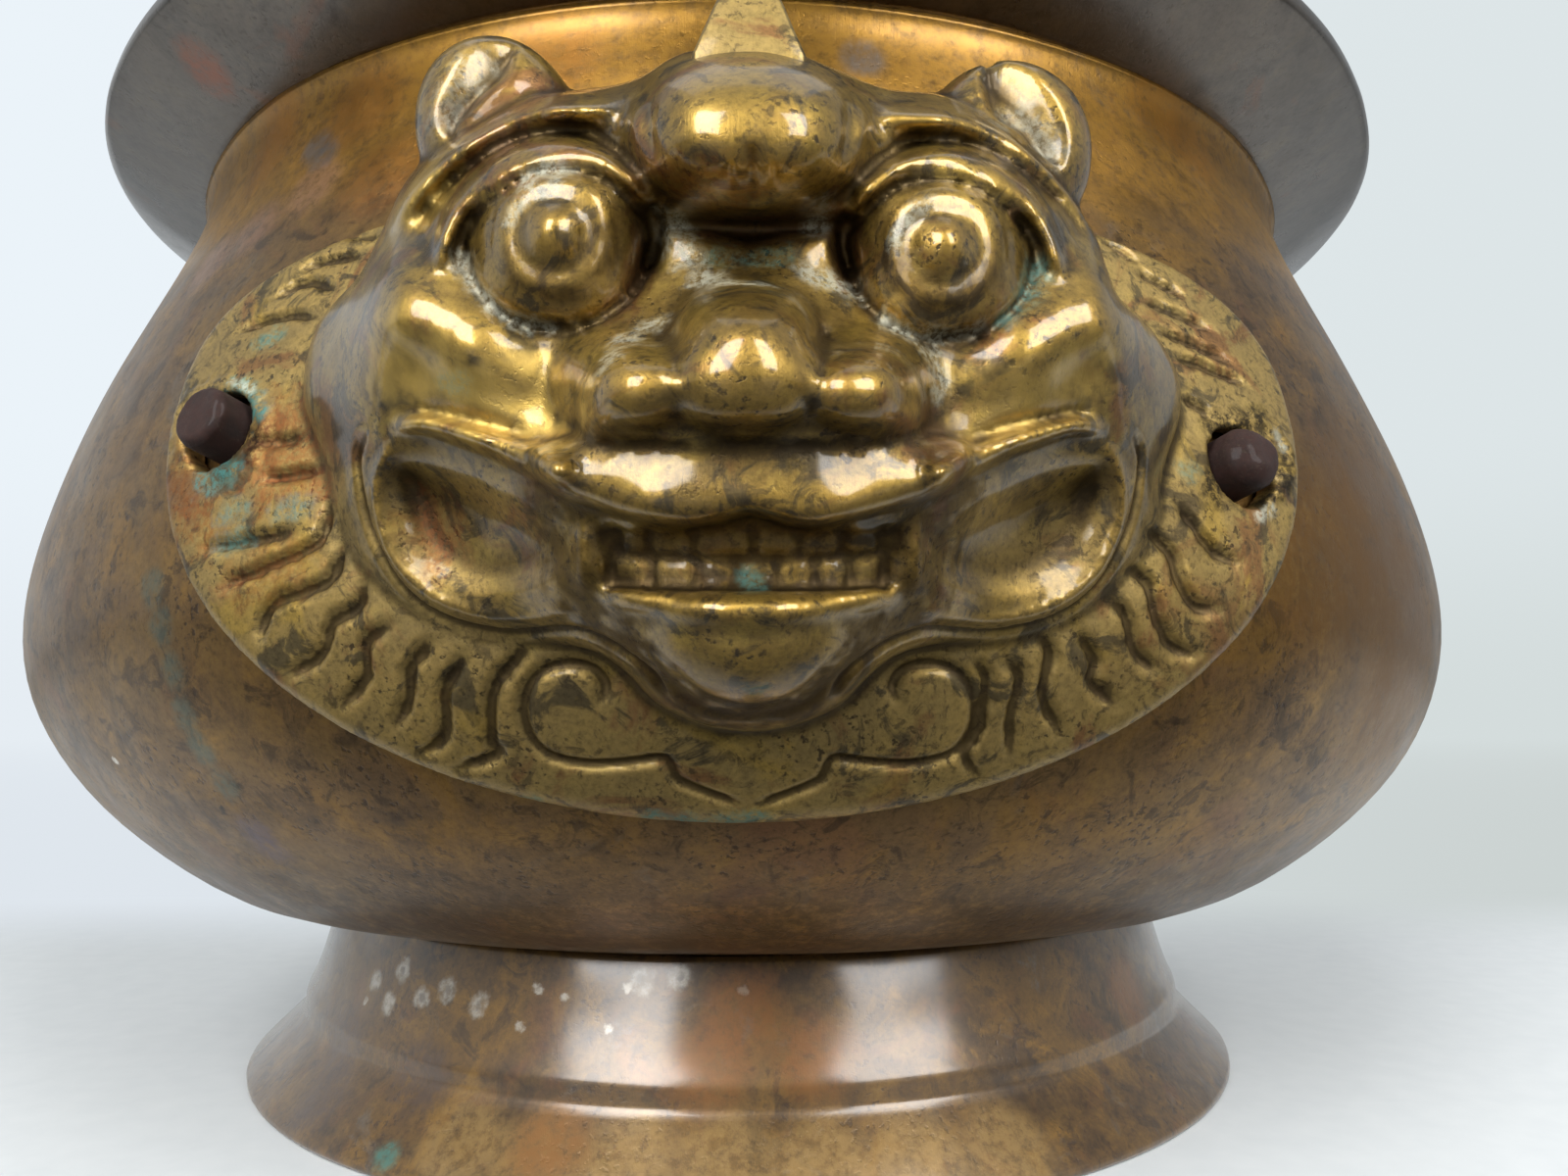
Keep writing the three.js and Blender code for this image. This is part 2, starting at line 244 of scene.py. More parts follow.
def makeFoot():
    def underside(radius):
        belly, middle = vessel["belly"]
        oval = middle - vessel["undersideDepth"] * math.sqrt(1 - (radius / belly) ** 2)
        return oval + undersideRise(radius) - foot["gap"]

    neck = foot["neckRadius"]
    shoulder, top = foot["shoulder"]
    base = foot["baseRadius"]
    band = top - foot["bandHeight"]
    wall = foot["wall"]
    r = foot["edgeRound"]
    spread = base - shoulder
    profile = [(base - wall, 0)]
    profile += bezierPoints((base - r, 0), (base - r * 0.3, 0), (base, r * 0.3), (base, r), 4)
    profile += bezierPoints(
        (base - 0.1, r + 0.4), (base - spread * 0.1, band * 0.22), (shoulder + spread * 0.4, band * 0.6),
        (shoulder + 0.6, band - 0.5), 14,
    )
    profile += bezierPoints(
        (shoulder + 0.35, band), (shoulder + 0.1, band + 1.2), (shoulder + 0.3, top - 0.9),
        (shoulder - 0.35, top + 0.3), 8,
    )
    profile += bezierPoints(
        (shoulder - 0.7, top + 1.0), (shoulder - 2.4, top + 5), (neck + 1.2, foot["coneTop"]),
        (neck, underside(neck)), 14,
    )
    inner = neck - wall
    profile += [(inner, underside(inner)), (shoulder - wall, top)]
    profile += [(shoulder - wall, band - wall / 3), (base - wall, r)]
    above = foot["evenUpTo"] * mm
    return turnedPiece(
        "footRing", profile, vessel["segments"], [(26, 0.35), (8, 0.08)], keep=lambda place: place.z > above,
    )


bowlPiece = makeBowl()
lipPiece = makeLip()
footPiece = makeFoot()
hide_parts("bowl")
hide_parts("rim_lip")
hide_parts("foot_ring")
for piece in (bowlPiece, lipPiece, footPiece):
    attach(piece, "root")
print("vessel made")


# Mask

head = {
    "grain": 0.455,          # mm between points of the finished surface
    "lumps": (0.05, 3.6),    # unevenness of the casting, and its width
    "rings": 150,
    "spokes": 560,
    "edgeWidth": 26,         # pixels over which the skin turns away at its outline
    "edgeDrop": 2.4,         # by so many mm
    "back": -8.0,            # where its wall ends, in front of the belly's line
    "thinBack": 0.95,        # share of the hidden back's points that can go
}
flange = {
    "thickness": 2.4,
    "edgeRound": 0.7,
    "middle": -0.9,          # it sits a little to the left
    "halfWidth": 58.6,
    "waistHeight": 86.4,     # where it is widest
    "lowerReach": 40.6,
    "upperReach": 22.5,
    "lowerRound": 2.0,       # superellipse exponents of its outline
    "upperRound": 3.1,
    "rings": 60,
    "spokes": 220,
    "standsTo": 3.4,         # what stands higher off the bowl belongs to the head,
    "standsOver": 5,         # with a change over this height
}

# The head is a relief set out in pixels of the 1600 x 1200 photo frame, as the camera sees it.
# "out" is how far the skin stands in front of the belly's line, in mm.
headMiddle = (765, 400)
headOutline = [
    (765, 47), (720, 50), (690, 57), (645, 82), (591, 92), (542, 99), (510, 112), (478, 132), (448, 150),
    (424, 172), (408, 196), (396, 222), (384, 248), (367, 280), (345, 305), (327, 324), (317, 345),
    (311, 372), (309, 400), (314, 425), (323, 455), (329, 480), (335, 510), (341, 540), (352, 566),
    (374, 590), (400, 612), (432, 632), (466, 647), (505, 655), (560, 656), (606, 664), (640, 686),
    (672, 718), (715, 738), (765, 746), (815, 738), (858, 718), (890, 686), (924, 664), (970, 656),
    (1020, 655), (1062, 646), (1100, 628), (1130, 605), (1160, 575), (1180, 545), (1186, 520),
    (1184, 498), (1187, 478), (1194, 455), (1202, 430), (1205, 405), (1201, 380), (1184, 348),
    (1160, 320), (1141, 303), (1130, 275), (1116, 238), (1087, 194), (1049, 155), (1010, 122),
    (961, 97), (904, 91), (856, 72), (810, 54),
]
broadForm = [
    # the middle line, then columns to the left, each repeated on the right
    (765, 58, 15.4), (765, 90, 17), (765, 126, 17.8), (765, 175, 16.8), (765, 225, 13.2), (765, 258, 12),
    (765, 290, 15.4), (765, 325, 18.7), (765, 372, 19.6), (765, 440, 18.6), (765, 480, 18.6),
    (765, 516, 18.9), (765, 560, 17.2), (765, 600, 16.6), (765, 640, 16.0), (765, 680, 15.0),
    (765, 712, 12.8), (765, 735, 9.0),
    (665, 80, 14), (665, 120, 15.8), (665, 170, 15.4), (665, 220, 12.8), (665, 262, 11.6), (665, 320, 14.8),
    (665, 380, 18.9), (665, 440, 17.9), (665, 480, 17.8), (665, 516, 18), (665, 560, 15.8), (665, 600, 15.2),
    (665, 640, 13.8), (662, 675, 11.6), (644, 694, 7.5),
    (610, 382, 17.2), (610, 428, 16.2), (590, 456, 15.5), (610, 480, 16.8), (640, 480, 17.4),
    (570, 104, 10.5), (570, 150, 12.4), (570, 237, 11.2), (570, 320, 12), (570, 370, 13.2), (570, 430, 13.0),
    (570, 485, 16), (575, 540, 12.6), (575, 590, 11), (570, 625, 8), (565, 648, 3.6),
    (480, 142, 8.2), (480, 190, 10), (480, 260, 10.2), (480, 302, 12.2), (480, 350, 13.4), (480, 402, 12),
    (485, 450, 10.6), (480, 505, 6.8), (480, 555, 5.2), (480, 610, 3.8), (478, 642, 0.6),
    (425, 200, 6), (425, 260, 9), (420, 318, 12), (420, 375, 9.4), (420, 430, 7.4), (418, 495, 3.8),
    (415, 555, 2.2), (425, 612, 0.4),
    (388, 285, 8), (382, 326, 9.6), (380, 380, 7.4), (374, 430, 4.8), (368, 490, 2), (372, 560, -0.6),
    (356, 330, 1.4), (342, 370, 0.2), (340, 410, 0), (346, 460, -0.6), (350, 520, -1.8),
    (313, 372, -5), (311, 400, -5), (330, 480, -5), (342, 540, -4.5), (367, 282, -1), (396, 224, 2),
    (426, 174, 3.2), (478, 134, 5), (542, 100, 7.4), (591, 93, 8.6), (645, 83, 11),
]
# Rounded masses: centre, half widths, height in mm, how boxy (0.5 is a ball, 2 a soft swelling),
# how flat on top (2 is round), drop on the right
faceDomes = {
    "forehead": ((765, 134), (128, 90), 4.6, 0.9, 3.4, None),
    "nose tip": ((757, 366), (84, 86), 3.0, 0.9, 3, None),
    "left nose wing": ((628, 392), (70, 62), 2.2, 0.9, 2.6, None),
    "right nose wing": ((890, 390), (66, 60), 2.2, 0.9, 2.6, None),
    "eye": ((567, 246), (92, 90), 5.8, 0.8, 2, 12),
    "chin": ((765, 656), (104, 64), 1.8, 0.9, 2.4, None),
    "tooth pillar": ((594, 568), (13, 40), 1.3, 1.0, 2, 0),
}
# Raised forms with a rounded rim: outline, height in mm, rim width in pixels
faceBlocks = {
    "nose": (
        [
            (588, 430), (598, 446), (640, 449), (700, 450), (765, 450), (830, 450), (900, 448), (932, 445),
            (944, 430), (944, 404), (934, 376), (914, 357), (886, 350), (858, 352), (838, 344), (832, 322),
            (818, 302), (790, 291), (757, 288), (724, 292), (700, 308), (690, 332), (680, 348), (654, 350),
            (626, 356), (602, 374), (588, 402),
        ],
        5.0, 42,
    ),
    "upper lip": (
        [
            (540, 456), (580, 444), (765, 443), (950, 444), (988, 452), (992, 476), (972, 500), (928, 516),
            (862, 533), (820, 539), (790, 532), (765, 525), (740, 532), (702, 538), (655, 533), (600, 517),
            (562, 502), (542, 482),
        ],
        3.0, 22,
    ),
}
# Soft ridges and valleys: pixels, half width at start, middle and end, height in mm, drop on the right,
# how boxy (2 is soft, below 1 is flat-topped)
faceStrokes = {
    "brow": (
        [(398, 240), (414, 204), (444, 172), (486, 140), (540, 118), (590, 110), (636, 110)],
        (16, 26, 18), 2.7, 9, 2,
    ),
    "channel": (
        [
            (424, 246), (436, 214), (458, 186), (488, 159), (521, 140), (556, 131), (592, 135), (624, 151),
            (652, 178),
        ],
        (10, 17, 15), -1.5, 9, 2,
    ),
    "lid": (
        [
            (448, 276), (456, 240), (472, 210), (496, 185), (530, 163), (570, 154), (608, 161), (638, 182),
            (660, 214),
        ],
        (11, 19, 13), 2.8, 9, 1.2,
    ),
    "under the lid": (
        [(482, 246), (490, 216), (508, 194), (534, 177), (571, 170), (609, 177), (641, 198), (662, 232)],
        (6, 7, 9), -1.0, 10, 2,
    ),
    "socket": (
        [
            (476, 248), (479, 278), (494, 305), (520, 325), (556, 334), (594, 332), (630, 314), (655, 284),
            (666, 246),
        ],
        (7, 8, 12), -1.1, 10, 2,
    ),
    "eye corner": ([(664, 206), (670, 240), (660, 278)], (12, 17, 12), -1.6, 10, 2),
    "pinch": ([(642, 92), (645, 118), (650, 144)], (10, 14, 10), 0.8, 0, 2),
    "pinch valley": ([(662, 108), (662, 135), (670, 165)], (9, 12, 9), -0.7, 0, 2),
    "crease": ([(767, 145), (768, 175), (769, 210)], (14, 24, 16), -0.8, None, 2),
    "under the brow": ([(672, 226), (765, 234), (858, 228)], (16, 24, 16), -1.8, None, 2),
    "nostril valley": ([(692, 336), (688, 362), (694, 388)], (10, 15, 12), -1.0, 0, 2),
    "cheekbone": ([(396, 308), (425, 322), (468, 346), (520, 372), (556, 386)], (28, 46, 28), 0.6, 6, 1.2),
    "lip corner": (
        [(400, 438), (430, 432), (462, 440), (500, 452), (535, 466), (585, 486)], (10, 14, 24), 2.2, 2, 1.4,
    ),
    "above the lip": ([(418, 414), (455, 421), (500, 433), (545, 447)], (10, 14, 14), -0.6, 2, 2),
    "lower lip": (
        [(608, 607), (660, 615), (700, 619), (765, 622), (830, 619), (870, 615), (922, 606)],
        (14, 25, 14), 1.5, None, 1.6,
    ),
    "dish rim": (
        [
            (414, 446), (394, 462), (384, 488), (383, 515), (390, 545), (405, 576), (430, 602), (464, 620),
            (500, 629), (545, 629), (585, 620),
        ],
        (8, 9, 8), 1.0, 2, 2,
    ),
    "chin foot": (
        [(648, 662), (682, 694), (716, 718), (765, 728), (814, 718), (848, 694), (882, 662)],
        (9, 11, 9), -1.0, None, 2,
    ),
}
# Hollows with a rounded rim: outline, depth in mm, rim width in pixels, drop on the right
faceHollows = {
    "dish": (
        [
            (392, 464), (387, 490), (389, 520), (398, 550), (415, 578), (441, 601), (474, 616), (515, 620),
            (552, 610), (576, 590), (584, 562), (578, 538), (556, 515), (520, 494), (480, 476), (440, 462),
            (412, 457),
        ],
        2.4, 46, 2,
    ),
    "mouth": (
        [
            (604, 536), (612, 530), (650, 536), (700, 534), (735, 526), (765, 518), (795, 526), (830, 534),
            (880, 536), (918, 530), (926, 536), (920, 575), (914, 602), (860, 606), (765, 610), (670, 606),
            (616, 602), (610, 575),
        ],
        1.0, 13, None,
    ),
}
# The ears: across, out from the belly's line and up from it, half sizes in mm, lean in degrees
ears = {
    "left ear": ([-23.0, -0.5, 41.0], [7.6, 6.5, 9.2], -14),
    "right ear": ([23.6, -0.5, 39.4], [8.4, 6.5, 9.4], 18),
}

mirrorColumn = 764.5
eyeCentre = (565, 238)
rightEyeCentre = (964, 251)


def ringPixels(centre, radius, count=20):
    turns = [2 * math.pi * i / count for i in range(count + 1)]
    return [(centre[0] + radius * math.cos(turn), centre[1] + radius * math.sin(turn)) for turn in turns]


# Scoops in the ears: outline, depth and rim width in mm
earDishes = {
    "left ear": (
        [
            (523, 40), (482, 46), (457, 77), (441, 110), (446, 140), (460, 146), (477, 128), (502, 102),
            (528, 77), (535, 53),
        ],
        1.6, 2.8,
    ),
    "right ear": (
        [
            (992, 77), (1003, 64), (1024, 62), (1048, 69), (1068, 87), (1084, 110), (1093, 138), (1091, 163),
            (1081, 176), (1055, 158), (1035, 138), (1010, 120), (997, 102),
        ],
        2.0, 2.8,
    ),
}
# Lines cut or raised on the skin: pixels, width to either side and height in mm, drop on the right,
# how ragged
faceLines = {
    "pupil": ([eyeCentre], 2.65, 1.1, 13, 0),
    "pupil groove": (ringPixels(eyeCentre, 39), 1.2, -0.24, 13, 0.5),
    "eye ring": (ringPixels(eyeCentre, 54), 1.5, 0.1, 13, 0.8),
    "eye ring step": (ringPixels(eyeCentre, 67), 1.2, -0.06, 13, 0.6),
    "bite": (
        [(622, 563), (650, 567), (690, 569), (765, 571), (840, 569), (880, 567), (910, 563)],
        0.9, -0.3, None, 0,
    ),
    "lower lip edge": (
        [(614, 594), (640, 597), (700, 599), (765, 600), (830, 599), (890, 597), (916, 594)],
        0.8, -0.2, None, 0.4,
    ),
    "chin fold": (
        [(684, 676), (700, 698), (728, 714), (765, 721), (802, 714), (830, 698), (846, 676)],
        1.2, -0.25, None, 0,
    ),
    "jowl and outer scroll": (
        [
            (372, 440), (364, 462), (366, 495), (374, 531), (388, 565), (405, 594), (430, 618), (461, 634),
            (495, 643), (530, 647), (580, 644), (608, 651), (630, 662), (650, 677), (667, 694), (678, 712),
            (676, 728), (667, 737), (650, 744), (636, 742), (624, 731),
        ],
        0.9, -0.65, 0, 0,
    ),
    "inner scroll": (
        [
            (611, 719), (617, 700), (605, 684), (580, 678), (555, 684), (539, 700), (533, 725), (539, 750),
            (555, 769), (580, 778), (611, 781), (649, 778), (674, 775), (683, 781), (692, 797), (717, 809),
            (746, 819), (758, 823),
        ],
        0.9, -0.65, 0, 0,
    ),
}
# Gaps between the teeth: columns, first and last row, width and height in mm
toothGaps = {
    "upper": ([630, 661, 708, 768, 815, 860, 900], (540, 565), 0.8, -0.24),
    "lower": ([622, 664, 712, 752, 793, 832, 868, 902], (572, 601), 0.85, -0.3),
}
maneLines = [
    [(536, 660), (502, 706), (500, 756), (506, 771), (460, 788)],
    [(475, 668), (452, 706), (452, 752), (422, 773)],
    [(441, 652), (418, 683), (414, 717), (401, 746)],
    [(399, 637), (372, 656), (370, 694), (345, 725)],
    [(370, 595), (364, 618), (337, 637), (326, 668), (290, 692)],
    [(351, 560), (330, 595), (276, 618), (261, 656)],
    [(337, 515), (322, 553), (276, 576), (223, 599)],
    [(303, 541), (250, 553), (205, 560)],
    [(324, 480), (295, 485), (265, 488)],
    [(307, 446), (285, 450), (261, 453)],
    [(324, 323), (291, 321), (243, 337)],
    [(341, 295), (314, 287), (280, 302)],
    [(368, 260), (338, 264), (307, 274)],
    [(383, 239), (360, 241), (337, 249)],
    [(992, 675), (1007, 694), (998, 740), (986, 771), (1001, 798)],
    [(1026, 671), (1042, 694), (1033, 733), (1032, 775)],
    [(1061, 648), (1072, 668), (1067, 714), (1084, 754)],
    [(1101, 645), (1118, 675), (1116, 698), (1139, 721)],
    [(1130, 614), (1149, 625), (1160, 664), (1183, 689)],
    [(1149, 580), (1172, 595), (1183, 633), (1198, 660), (1225, 669)],
    [(1168, 537), (1195, 564), (1206, 595), (1221, 618), (1248, 622)],
    [(1202, 514), (1221, 537), (1240, 562), (1267, 576)],
    [(1130, 245), (1143, 254), (1157, 264)],
    [(1164, 279), (1183, 288), (1203, 298)],
    [(1168, 306), (1203, 320), (1237, 337)],
    [(1184, 337), (1222, 352), (1260, 371)],
    [(1199, 363), (1236, 376), (1272, 392)],
    [(1210, 406), (1224, 415), (1237, 425)],
]
maneCut = (1.05, -0.8, 0.35)    # width and height in mm, how ragged

# Studs that hold the mask: across the vessel and height above the table, in mm
rivetSpots = {"left": (-51.9, 83.9), "right": (48.7, 80.5)}
rivet = {
    "radius": 3.3, "reach": 2.6, "holeSlack": 1.1, "segments": 48,
    "headRadius": 6.4, "headHeight": 3.2, "headDish": 0.95,
    "endRound": {"left": 0.9, "right": 2.2},
}
horn = {
    "width": 9.4, "tipWidth": 1.8,
    "thickness": 7.0, "tipThickness": 1.6,
    "height": 10.5,
    "front": -129.8,         # y of the front face at the seat
    "seat": 107.8,           # height of the seat above the table
    "sunk": 1.6,             # how far it runs down into the crown
    "edge": 0.75,            # bevel along its edges
}

# A crust round each stud's hole: middle and radius in pixels, then its width, height and raggedness
studPixels = {"left": (224, 437), "right": (1275, 472)}
holeCrust = {"left": (studPixels["left"], 44), "right": (studPixels["right"], 42)}
crustRidge = (1.4, 0.3, 1.2)

# What lies on the bronze, and some painted shade and a painted highlight, laid along lines: mark, width to
# either side in mm, strength, lines
stains = [
    ("verdigris", 2.2, 1.0, [[(240, 396), (252, 404), (262, 422)], [(232, 478), (218, 488), (204, 492)]]),
    ("verdigris", 1.8, 0.75, [
        [(285, 522), (311, 518)], [(228, 524), (250, 518)], [(230, 560), (250, 550)],
        [(268, 346), (281, 342)],
    ]),
    ("verdigris", 1.5, 0.9, [
        [(500, 812), (540, 815)], [(664, 833), (720, 838)], [(745, 835), (775, 835)],
        [(880, 832), (935, 828)],
    ]),
    ("verdigris", 1.1, 0.8, [[(764, 590), (770, 600)], [(765, 702), (772, 703)]]),
    ("verdigris", 1.8, 0.6, [[(1030, 322), (1049, 300), (1054, 274)], [(735, 262), (765, 266), (795, 258)]]),
    ("verdigris", 1.6, 0.5, [[(1205, 478), (1216, 482)], [(455, 396), (470, 392)]]),
    ("pale", 1.8, 0.9, [
        [(684, 222), (690, 242), (700, 264)], [(716, 284), (745, 289), (775, 290)],
        [(826, 280), (850, 286), (868, 300)],
    ]),
    ("pale", 1.5, 0.7, [
        [(838, 204), (834, 236)], [(617, 372), (640, 345), (672, 330)], [(936, 350), (955, 372), (956, 400)],
    ]),
    ("pale", 2.2, 0.45, [[(450, 120), (462, 92), (488, 66)]]),
    ("pale", 1.6, 0.4, [[(1018, 128), (1046, 120), (1062, 140), (1078, 164)]]),
    ("pale", 0.9, 0.8, [ringPixels(eyeCentre, 47)[11:16], ringPixels(rightEyeCentre, 50)[10:15]]),
    # grime and painted shade: darker on the teeth under the lip, beside the mouth, under the chin, on the
    # lower halves of the eye rings and on the right of the mane
    ("grime", 2.6, 0.5, [[(612, 556), (690, 552), (765, 550), (840, 552), (916, 556)]]),
    ("grime", 1.6, 0.45, [[(618, 588), (690, 592), (765, 594), (840, 592), (912, 588)]]),
    ("grime", 2.6, 0.7, [[(596, 536), (589, 575), (600, 608)], [(933, 536), (940, 575), (929, 608)]]),
    ("grime", 4.2, 0.8, [
        [(556, 512), (572, 560), (600, 628), (640, 656)], [(973, 512), (957, 560), (929, 628), (889, 656)],
    ]),
    ("grime", 4.0, 0.9, [
        [(650, 664), (686, 704), (728, 724), (765, 730), (802, 724), (842, 704), (878, 664)],
    ]),
    ("grime", 2.0, 0.7, [ringPixels(eyeCentre, 54)[0:9], ringPixels(rightEyeCentre, 54)[0:10]]),
    ("grime", 2.4, 0.6, [[(470, 120), (505, 112)], [(1020, 130), (1060, 160)]]),
    ("grime", 6.0, 0.3, [[(1215, 560), (1236, 500)], [(1150, 690), (1190, 650), (1220, 600)]]),
    # painted highlight: bright gold laid on the cheeks and the brow's outer end, where they catch the light
    ("gilt", 5.0, 0.9, [[(405, 372), (450, 392), (500, 410), (540, 412)]]),
    ("gilt", 4.0, 0.6, [[(1110, 380), (1060, 400), (1010, 416)], [(400, 230), (436, 178)]]),
    ("pale", 1.2, 0.8, [[(492, 300), (520, 322), (560, 332)], [(905, 326), (940, 340), (1000, 334)]]),
    ("pale", 1.3, 0.8, [[(536, 190), (552, 176), (575, 172)], [(470, 268), (484, 292)]]),
    ("rust", 4.0, 0.7, [
        [(200, 510), (215, 540)], [(262, 425), (300, 428)], [(265, 465), (305, 460)],
        [(270, 500), (320, 500)],
    ]),
    ("rust", 4.0, 0.45, [
        [(255, 590), (300, 575)], [(184, 470), (190, 540)], [(440, 530), (450, 560)],
        [(700, 190), (740, 195)],
    ]),
    # soot and painted shade: dark inside the stud holes, beside the studs
    ("soot", 2.2, 1.0, [[(240, 440), (262, 440)], [(1238, 440), (1240, 500)], [(1250, 432), (1290, 428)]]),
    ("soot", 1.5, 0.9, [ringPixels(place, 40) for place in studPixels.values()]),
    ("pale", 0.8, 0.9, [[(1284, 528), (1300, 520)], [(1302, 440), (1308, 456)], [(236, 390), (256, 398)]]),
]
# Marks of the relief: how many rounds of blurring it is held against, and the full depth in mm
reliefMarks = (("fine", 12, 0.14), ("broad", 90, 0.55))
carving = {
    "step": 3.0,             # pixels between a line's samples
    "jump": 5,               # mm of depth by which a sample has left the line's surface
    "closed": 0.5,           # mm between the ends of a closed line
    "rag": 1.1,              # width of a line's ragged places, mm
    "patches": (1.6, 0.6),   # widths of a stain's patches, mm
}

shoulderLine = bowlOutline(0, vessel["steps"])[vessel["steps"][0]:]


def bowlRadiusAt(height):
    # outer radius of the bowl at a height, both in mm
    radius, middle = vessel["belly"]
    if height <= middle:
        depth = vessel["undersideDepth"]
        return radius * math.sqrt(max(0.0, 1 - ((middle - height) / depth) ** 2))
    for low, high in zip(shoulderLine, shoulderLine[1:]):
        if height <= high[1]:
            break
    t = (height - low[1]) / (high[1] - low[1])
    return low[0] + (high[0] - low[0]) * t


def rivetPlace(side):
    # where a stud crosses the bowl's outside, its length along its own Z, square to the wall
    x, z = rivetSpots[side]
    radius = bowlRadiusAt(z)
    span = rivet["headRadius"]
    lean = math.atan((bowlRadiusAt(z - span) - bowlRadiusAt(z + span)) / (2 * span))
    around = math.asin(x / radius)
    outward = Vector((math.sin(around), -math.cos(around), 0))
    pointing = outward * math.cos(lean) + Vector((0, 0, math.sin(lean)))
    place = (outward * radius + Vector((0, 0, z))) * mm
    return Matrix.Translation(place) @ pointing.to_track_quat("Z", "Y").to_matrix().to_4x4()


def flangeReach(angle):
    # distance from the flange's middle to its outline, by superellipse
    c, s = abs(math.cos(angle)), abs(math.sin(angle))
    half = "lower" if math.sin(angle) < 0 else "upper"
    reach, power = flange[half + "Reach"], flange[half + "Round"]
    return ((c / flange["halfWidth"]) ** power + (s / reach) ** power) ** (-1 / power)


def curveThrough(points, step):
    # a smooth line through points, Catmull-Rom, sampled about every step
    ends = [points[0] * 2 - points[1], *points, points[-1] * 2 - points[-2]]
    line = []
    for a, b, c, d in zip(ends, ends[1:], ends[2:], ends[3:]):
        count = max(1, round((c - b).length / step))
        for i in range(count):
            t = i / count
            bend = (2 * a - 5 * b + 4 * c - d) * t * t + (3 * b - a - 3 * c + d) * t ** 3
            line.append(0.5 * (2 * b + (c - a) * t + bend))
    line.append(points[-1].copy())
    return line


def pixelCurve(pixels, step):
    # the same through pixels, as an array
    return numpy.array([p[:2] for p in curveThrough([Vector((*p, 0)) for p in pixels], step)])


def mirroredPixels(pixels, drop):
    return [(2 * mirrorColumn - pixel[0], pixel[1] + drop, *pixel[2:]) for pixel in pixels]


def bothSides(pixels, drop):
    return [pixels] if drop is None else [pixels, mirroredPixels(pixels, drop)]


def thinPlate(places, known):
    # the smoothest surface over known points, read at places, all in pixels
    known = numpy.array(known, float)
    base, heights = known[:, :2] / 100, known[:, 2]

    def bend(a, b):
        square = ((a[:, None, :] - b[None, :, :]) ** 2).sum(2)
        return 0.5 * square * numpy.log(square + 1e-9)

    count = len(base)
    flat = numpy.c_[numpy.ones(count), base]
    system = numpy.zeros((count + 3, count + 3))
    system[:count, :count] = bend(base, base) + numpy.eye(count) * 0.02
    system[:count, count:] = flat
    system[count:, :count] = flat.T
    weights = numpy.linalg.solve(system, numpy.r_[heights, 0, 0, 0])
    places = places / 100
    return bend(places, base) @ weights[:count] + numpy.c_[numpy.ones(len(places)), places] @ weights[count:]


def alongLine(places, pixels):
    # distance of each place from a smooth line, and how far along the line its nearest point lies, 0 to 1
    line = pixelCurve(pixels, 6.0)
    nearestGap = numpy.full(len(places), 1e9)
    share = numpy.zeros(len(places))
    for i, (a, b) in enumerate(zip(line, line[1:])):
        step = b - a
        t = numpy.clip(((places - a) @ step) / (step @ step), 0, 1)
        gap = numpy.hypot(*(places - a - t[:, None] * step).T)
        closer = gap < nearestGap
        nearestGap[closer] = gap[closer]
        share[closer] = ((i + t) / (len(line) - 1))[closer]
    return nearestGap, share


def nearLine(places, pixels, reach):
    corners = numpy.array([p[:2] for p in pixels])
    low, high = corners.min(0) - reach - 8, corners.max(0) + reach + 8
    return ((places > low) & (places < high)).all(1)


def inOutline(places, pixels):
    inside = numpy.zeros(len(places), bool)
    u, v = places.T
    for (ua, va), (ub, vb) in zip(pixels, pixels[1:] + pixels[:1]):
        if va != vb:
            inside ^= ((va > v) != (vb > v)) & (u < (ub - ua) * (v - va) / (vb - va) + ua)
    return inside


def rimShare(places, outline, rim):
    # which places are near an outline, and how far in each lies: 0 outside it, 1 past its rim
    near = nearLine(places, outline, 0)
    gap, _ = alongLine(places[near], outline + outline[:1])
    return near, numpy.clip(gap / rim, 0, 1) * inOutline(places[near], outline)


def faceHeights(places):
    # how far out the face stands at each pixel, in mm
    known = broadForm + mirroredPixels([p for p in broadForm if p[0] != headMiddle[0]], 6)
    out = thinPlate(places, known)
    for centre, half, height, power, flat, drop in faceDomes.values():
        for ((u, v),) in bothSides([centre], drop):
            far = numpy.hypot((places[:, 0] - u) / half[0], (places[:, 1] - v) / half[1])
            out += height * numpy.clip(1 - far ** flat, 0, 1) ** power
    for outline, height, rim in faceBlocks.values():
        near, t = rimShare(places, outline, rim)
        out[near] += height * (1 - (1 - t) ** 2.4) ** 0.55
    for pixels, depth, rim, drop in faceHollows.values():
        for outline in bothSides(pixels, drop):
            near, t = rimShare(places, outline, rim)
            out[near] -= depth * t * t * (3 - 2 * t)
    for pixels, widths, height, drop, power in faceStrokes.values():
        for line in bothSides(pixels, drop):
            near = nearLine(places, line, max(widths))
            gap, share = alongLine(places[near], line)
            width = numpy.interp(share, (0, 0.5, 1), widths)
            fade = numpy.clip(numpy.minimum(share, 1 - share) / 0.12, 0, 1)
            out[near] += height * numpy.clip(1 - (gap / width) ** 2, 0, 1) ** power * fade * (2 - fade)
    return out


# The camera's own directions, and its focal length in photo pixels
yaw, pitch = math.radians(cameraFit["turnRight"]), math.radians(cameraFit["tiltUp"])
ahead = Vector((math.sin(yaw) * math.cos(pitch), math.cos(yaw) * math.cos(pitch), math.sin(pitch)))
toRight = Vector((math.cos(yaw), -math.sin(yaw), 0))
upward = toRight.cross(ahead)
photoMiddle = (800, 600)
focal = cameraFit["lens"] / cameraFit["sensor"] * 2 * photoMiddle[0]
eyePoint = Vector((0, -cameraFit["distance"], cameraFit["height"])) * mm


def sightLine(u, v):
    # direction from the camera through a pixel of the photo frame
    return (focal * ahead + (u - photoMiddle[0]) * toRight + (photoMiddle[1] - v) * upward).normalized()


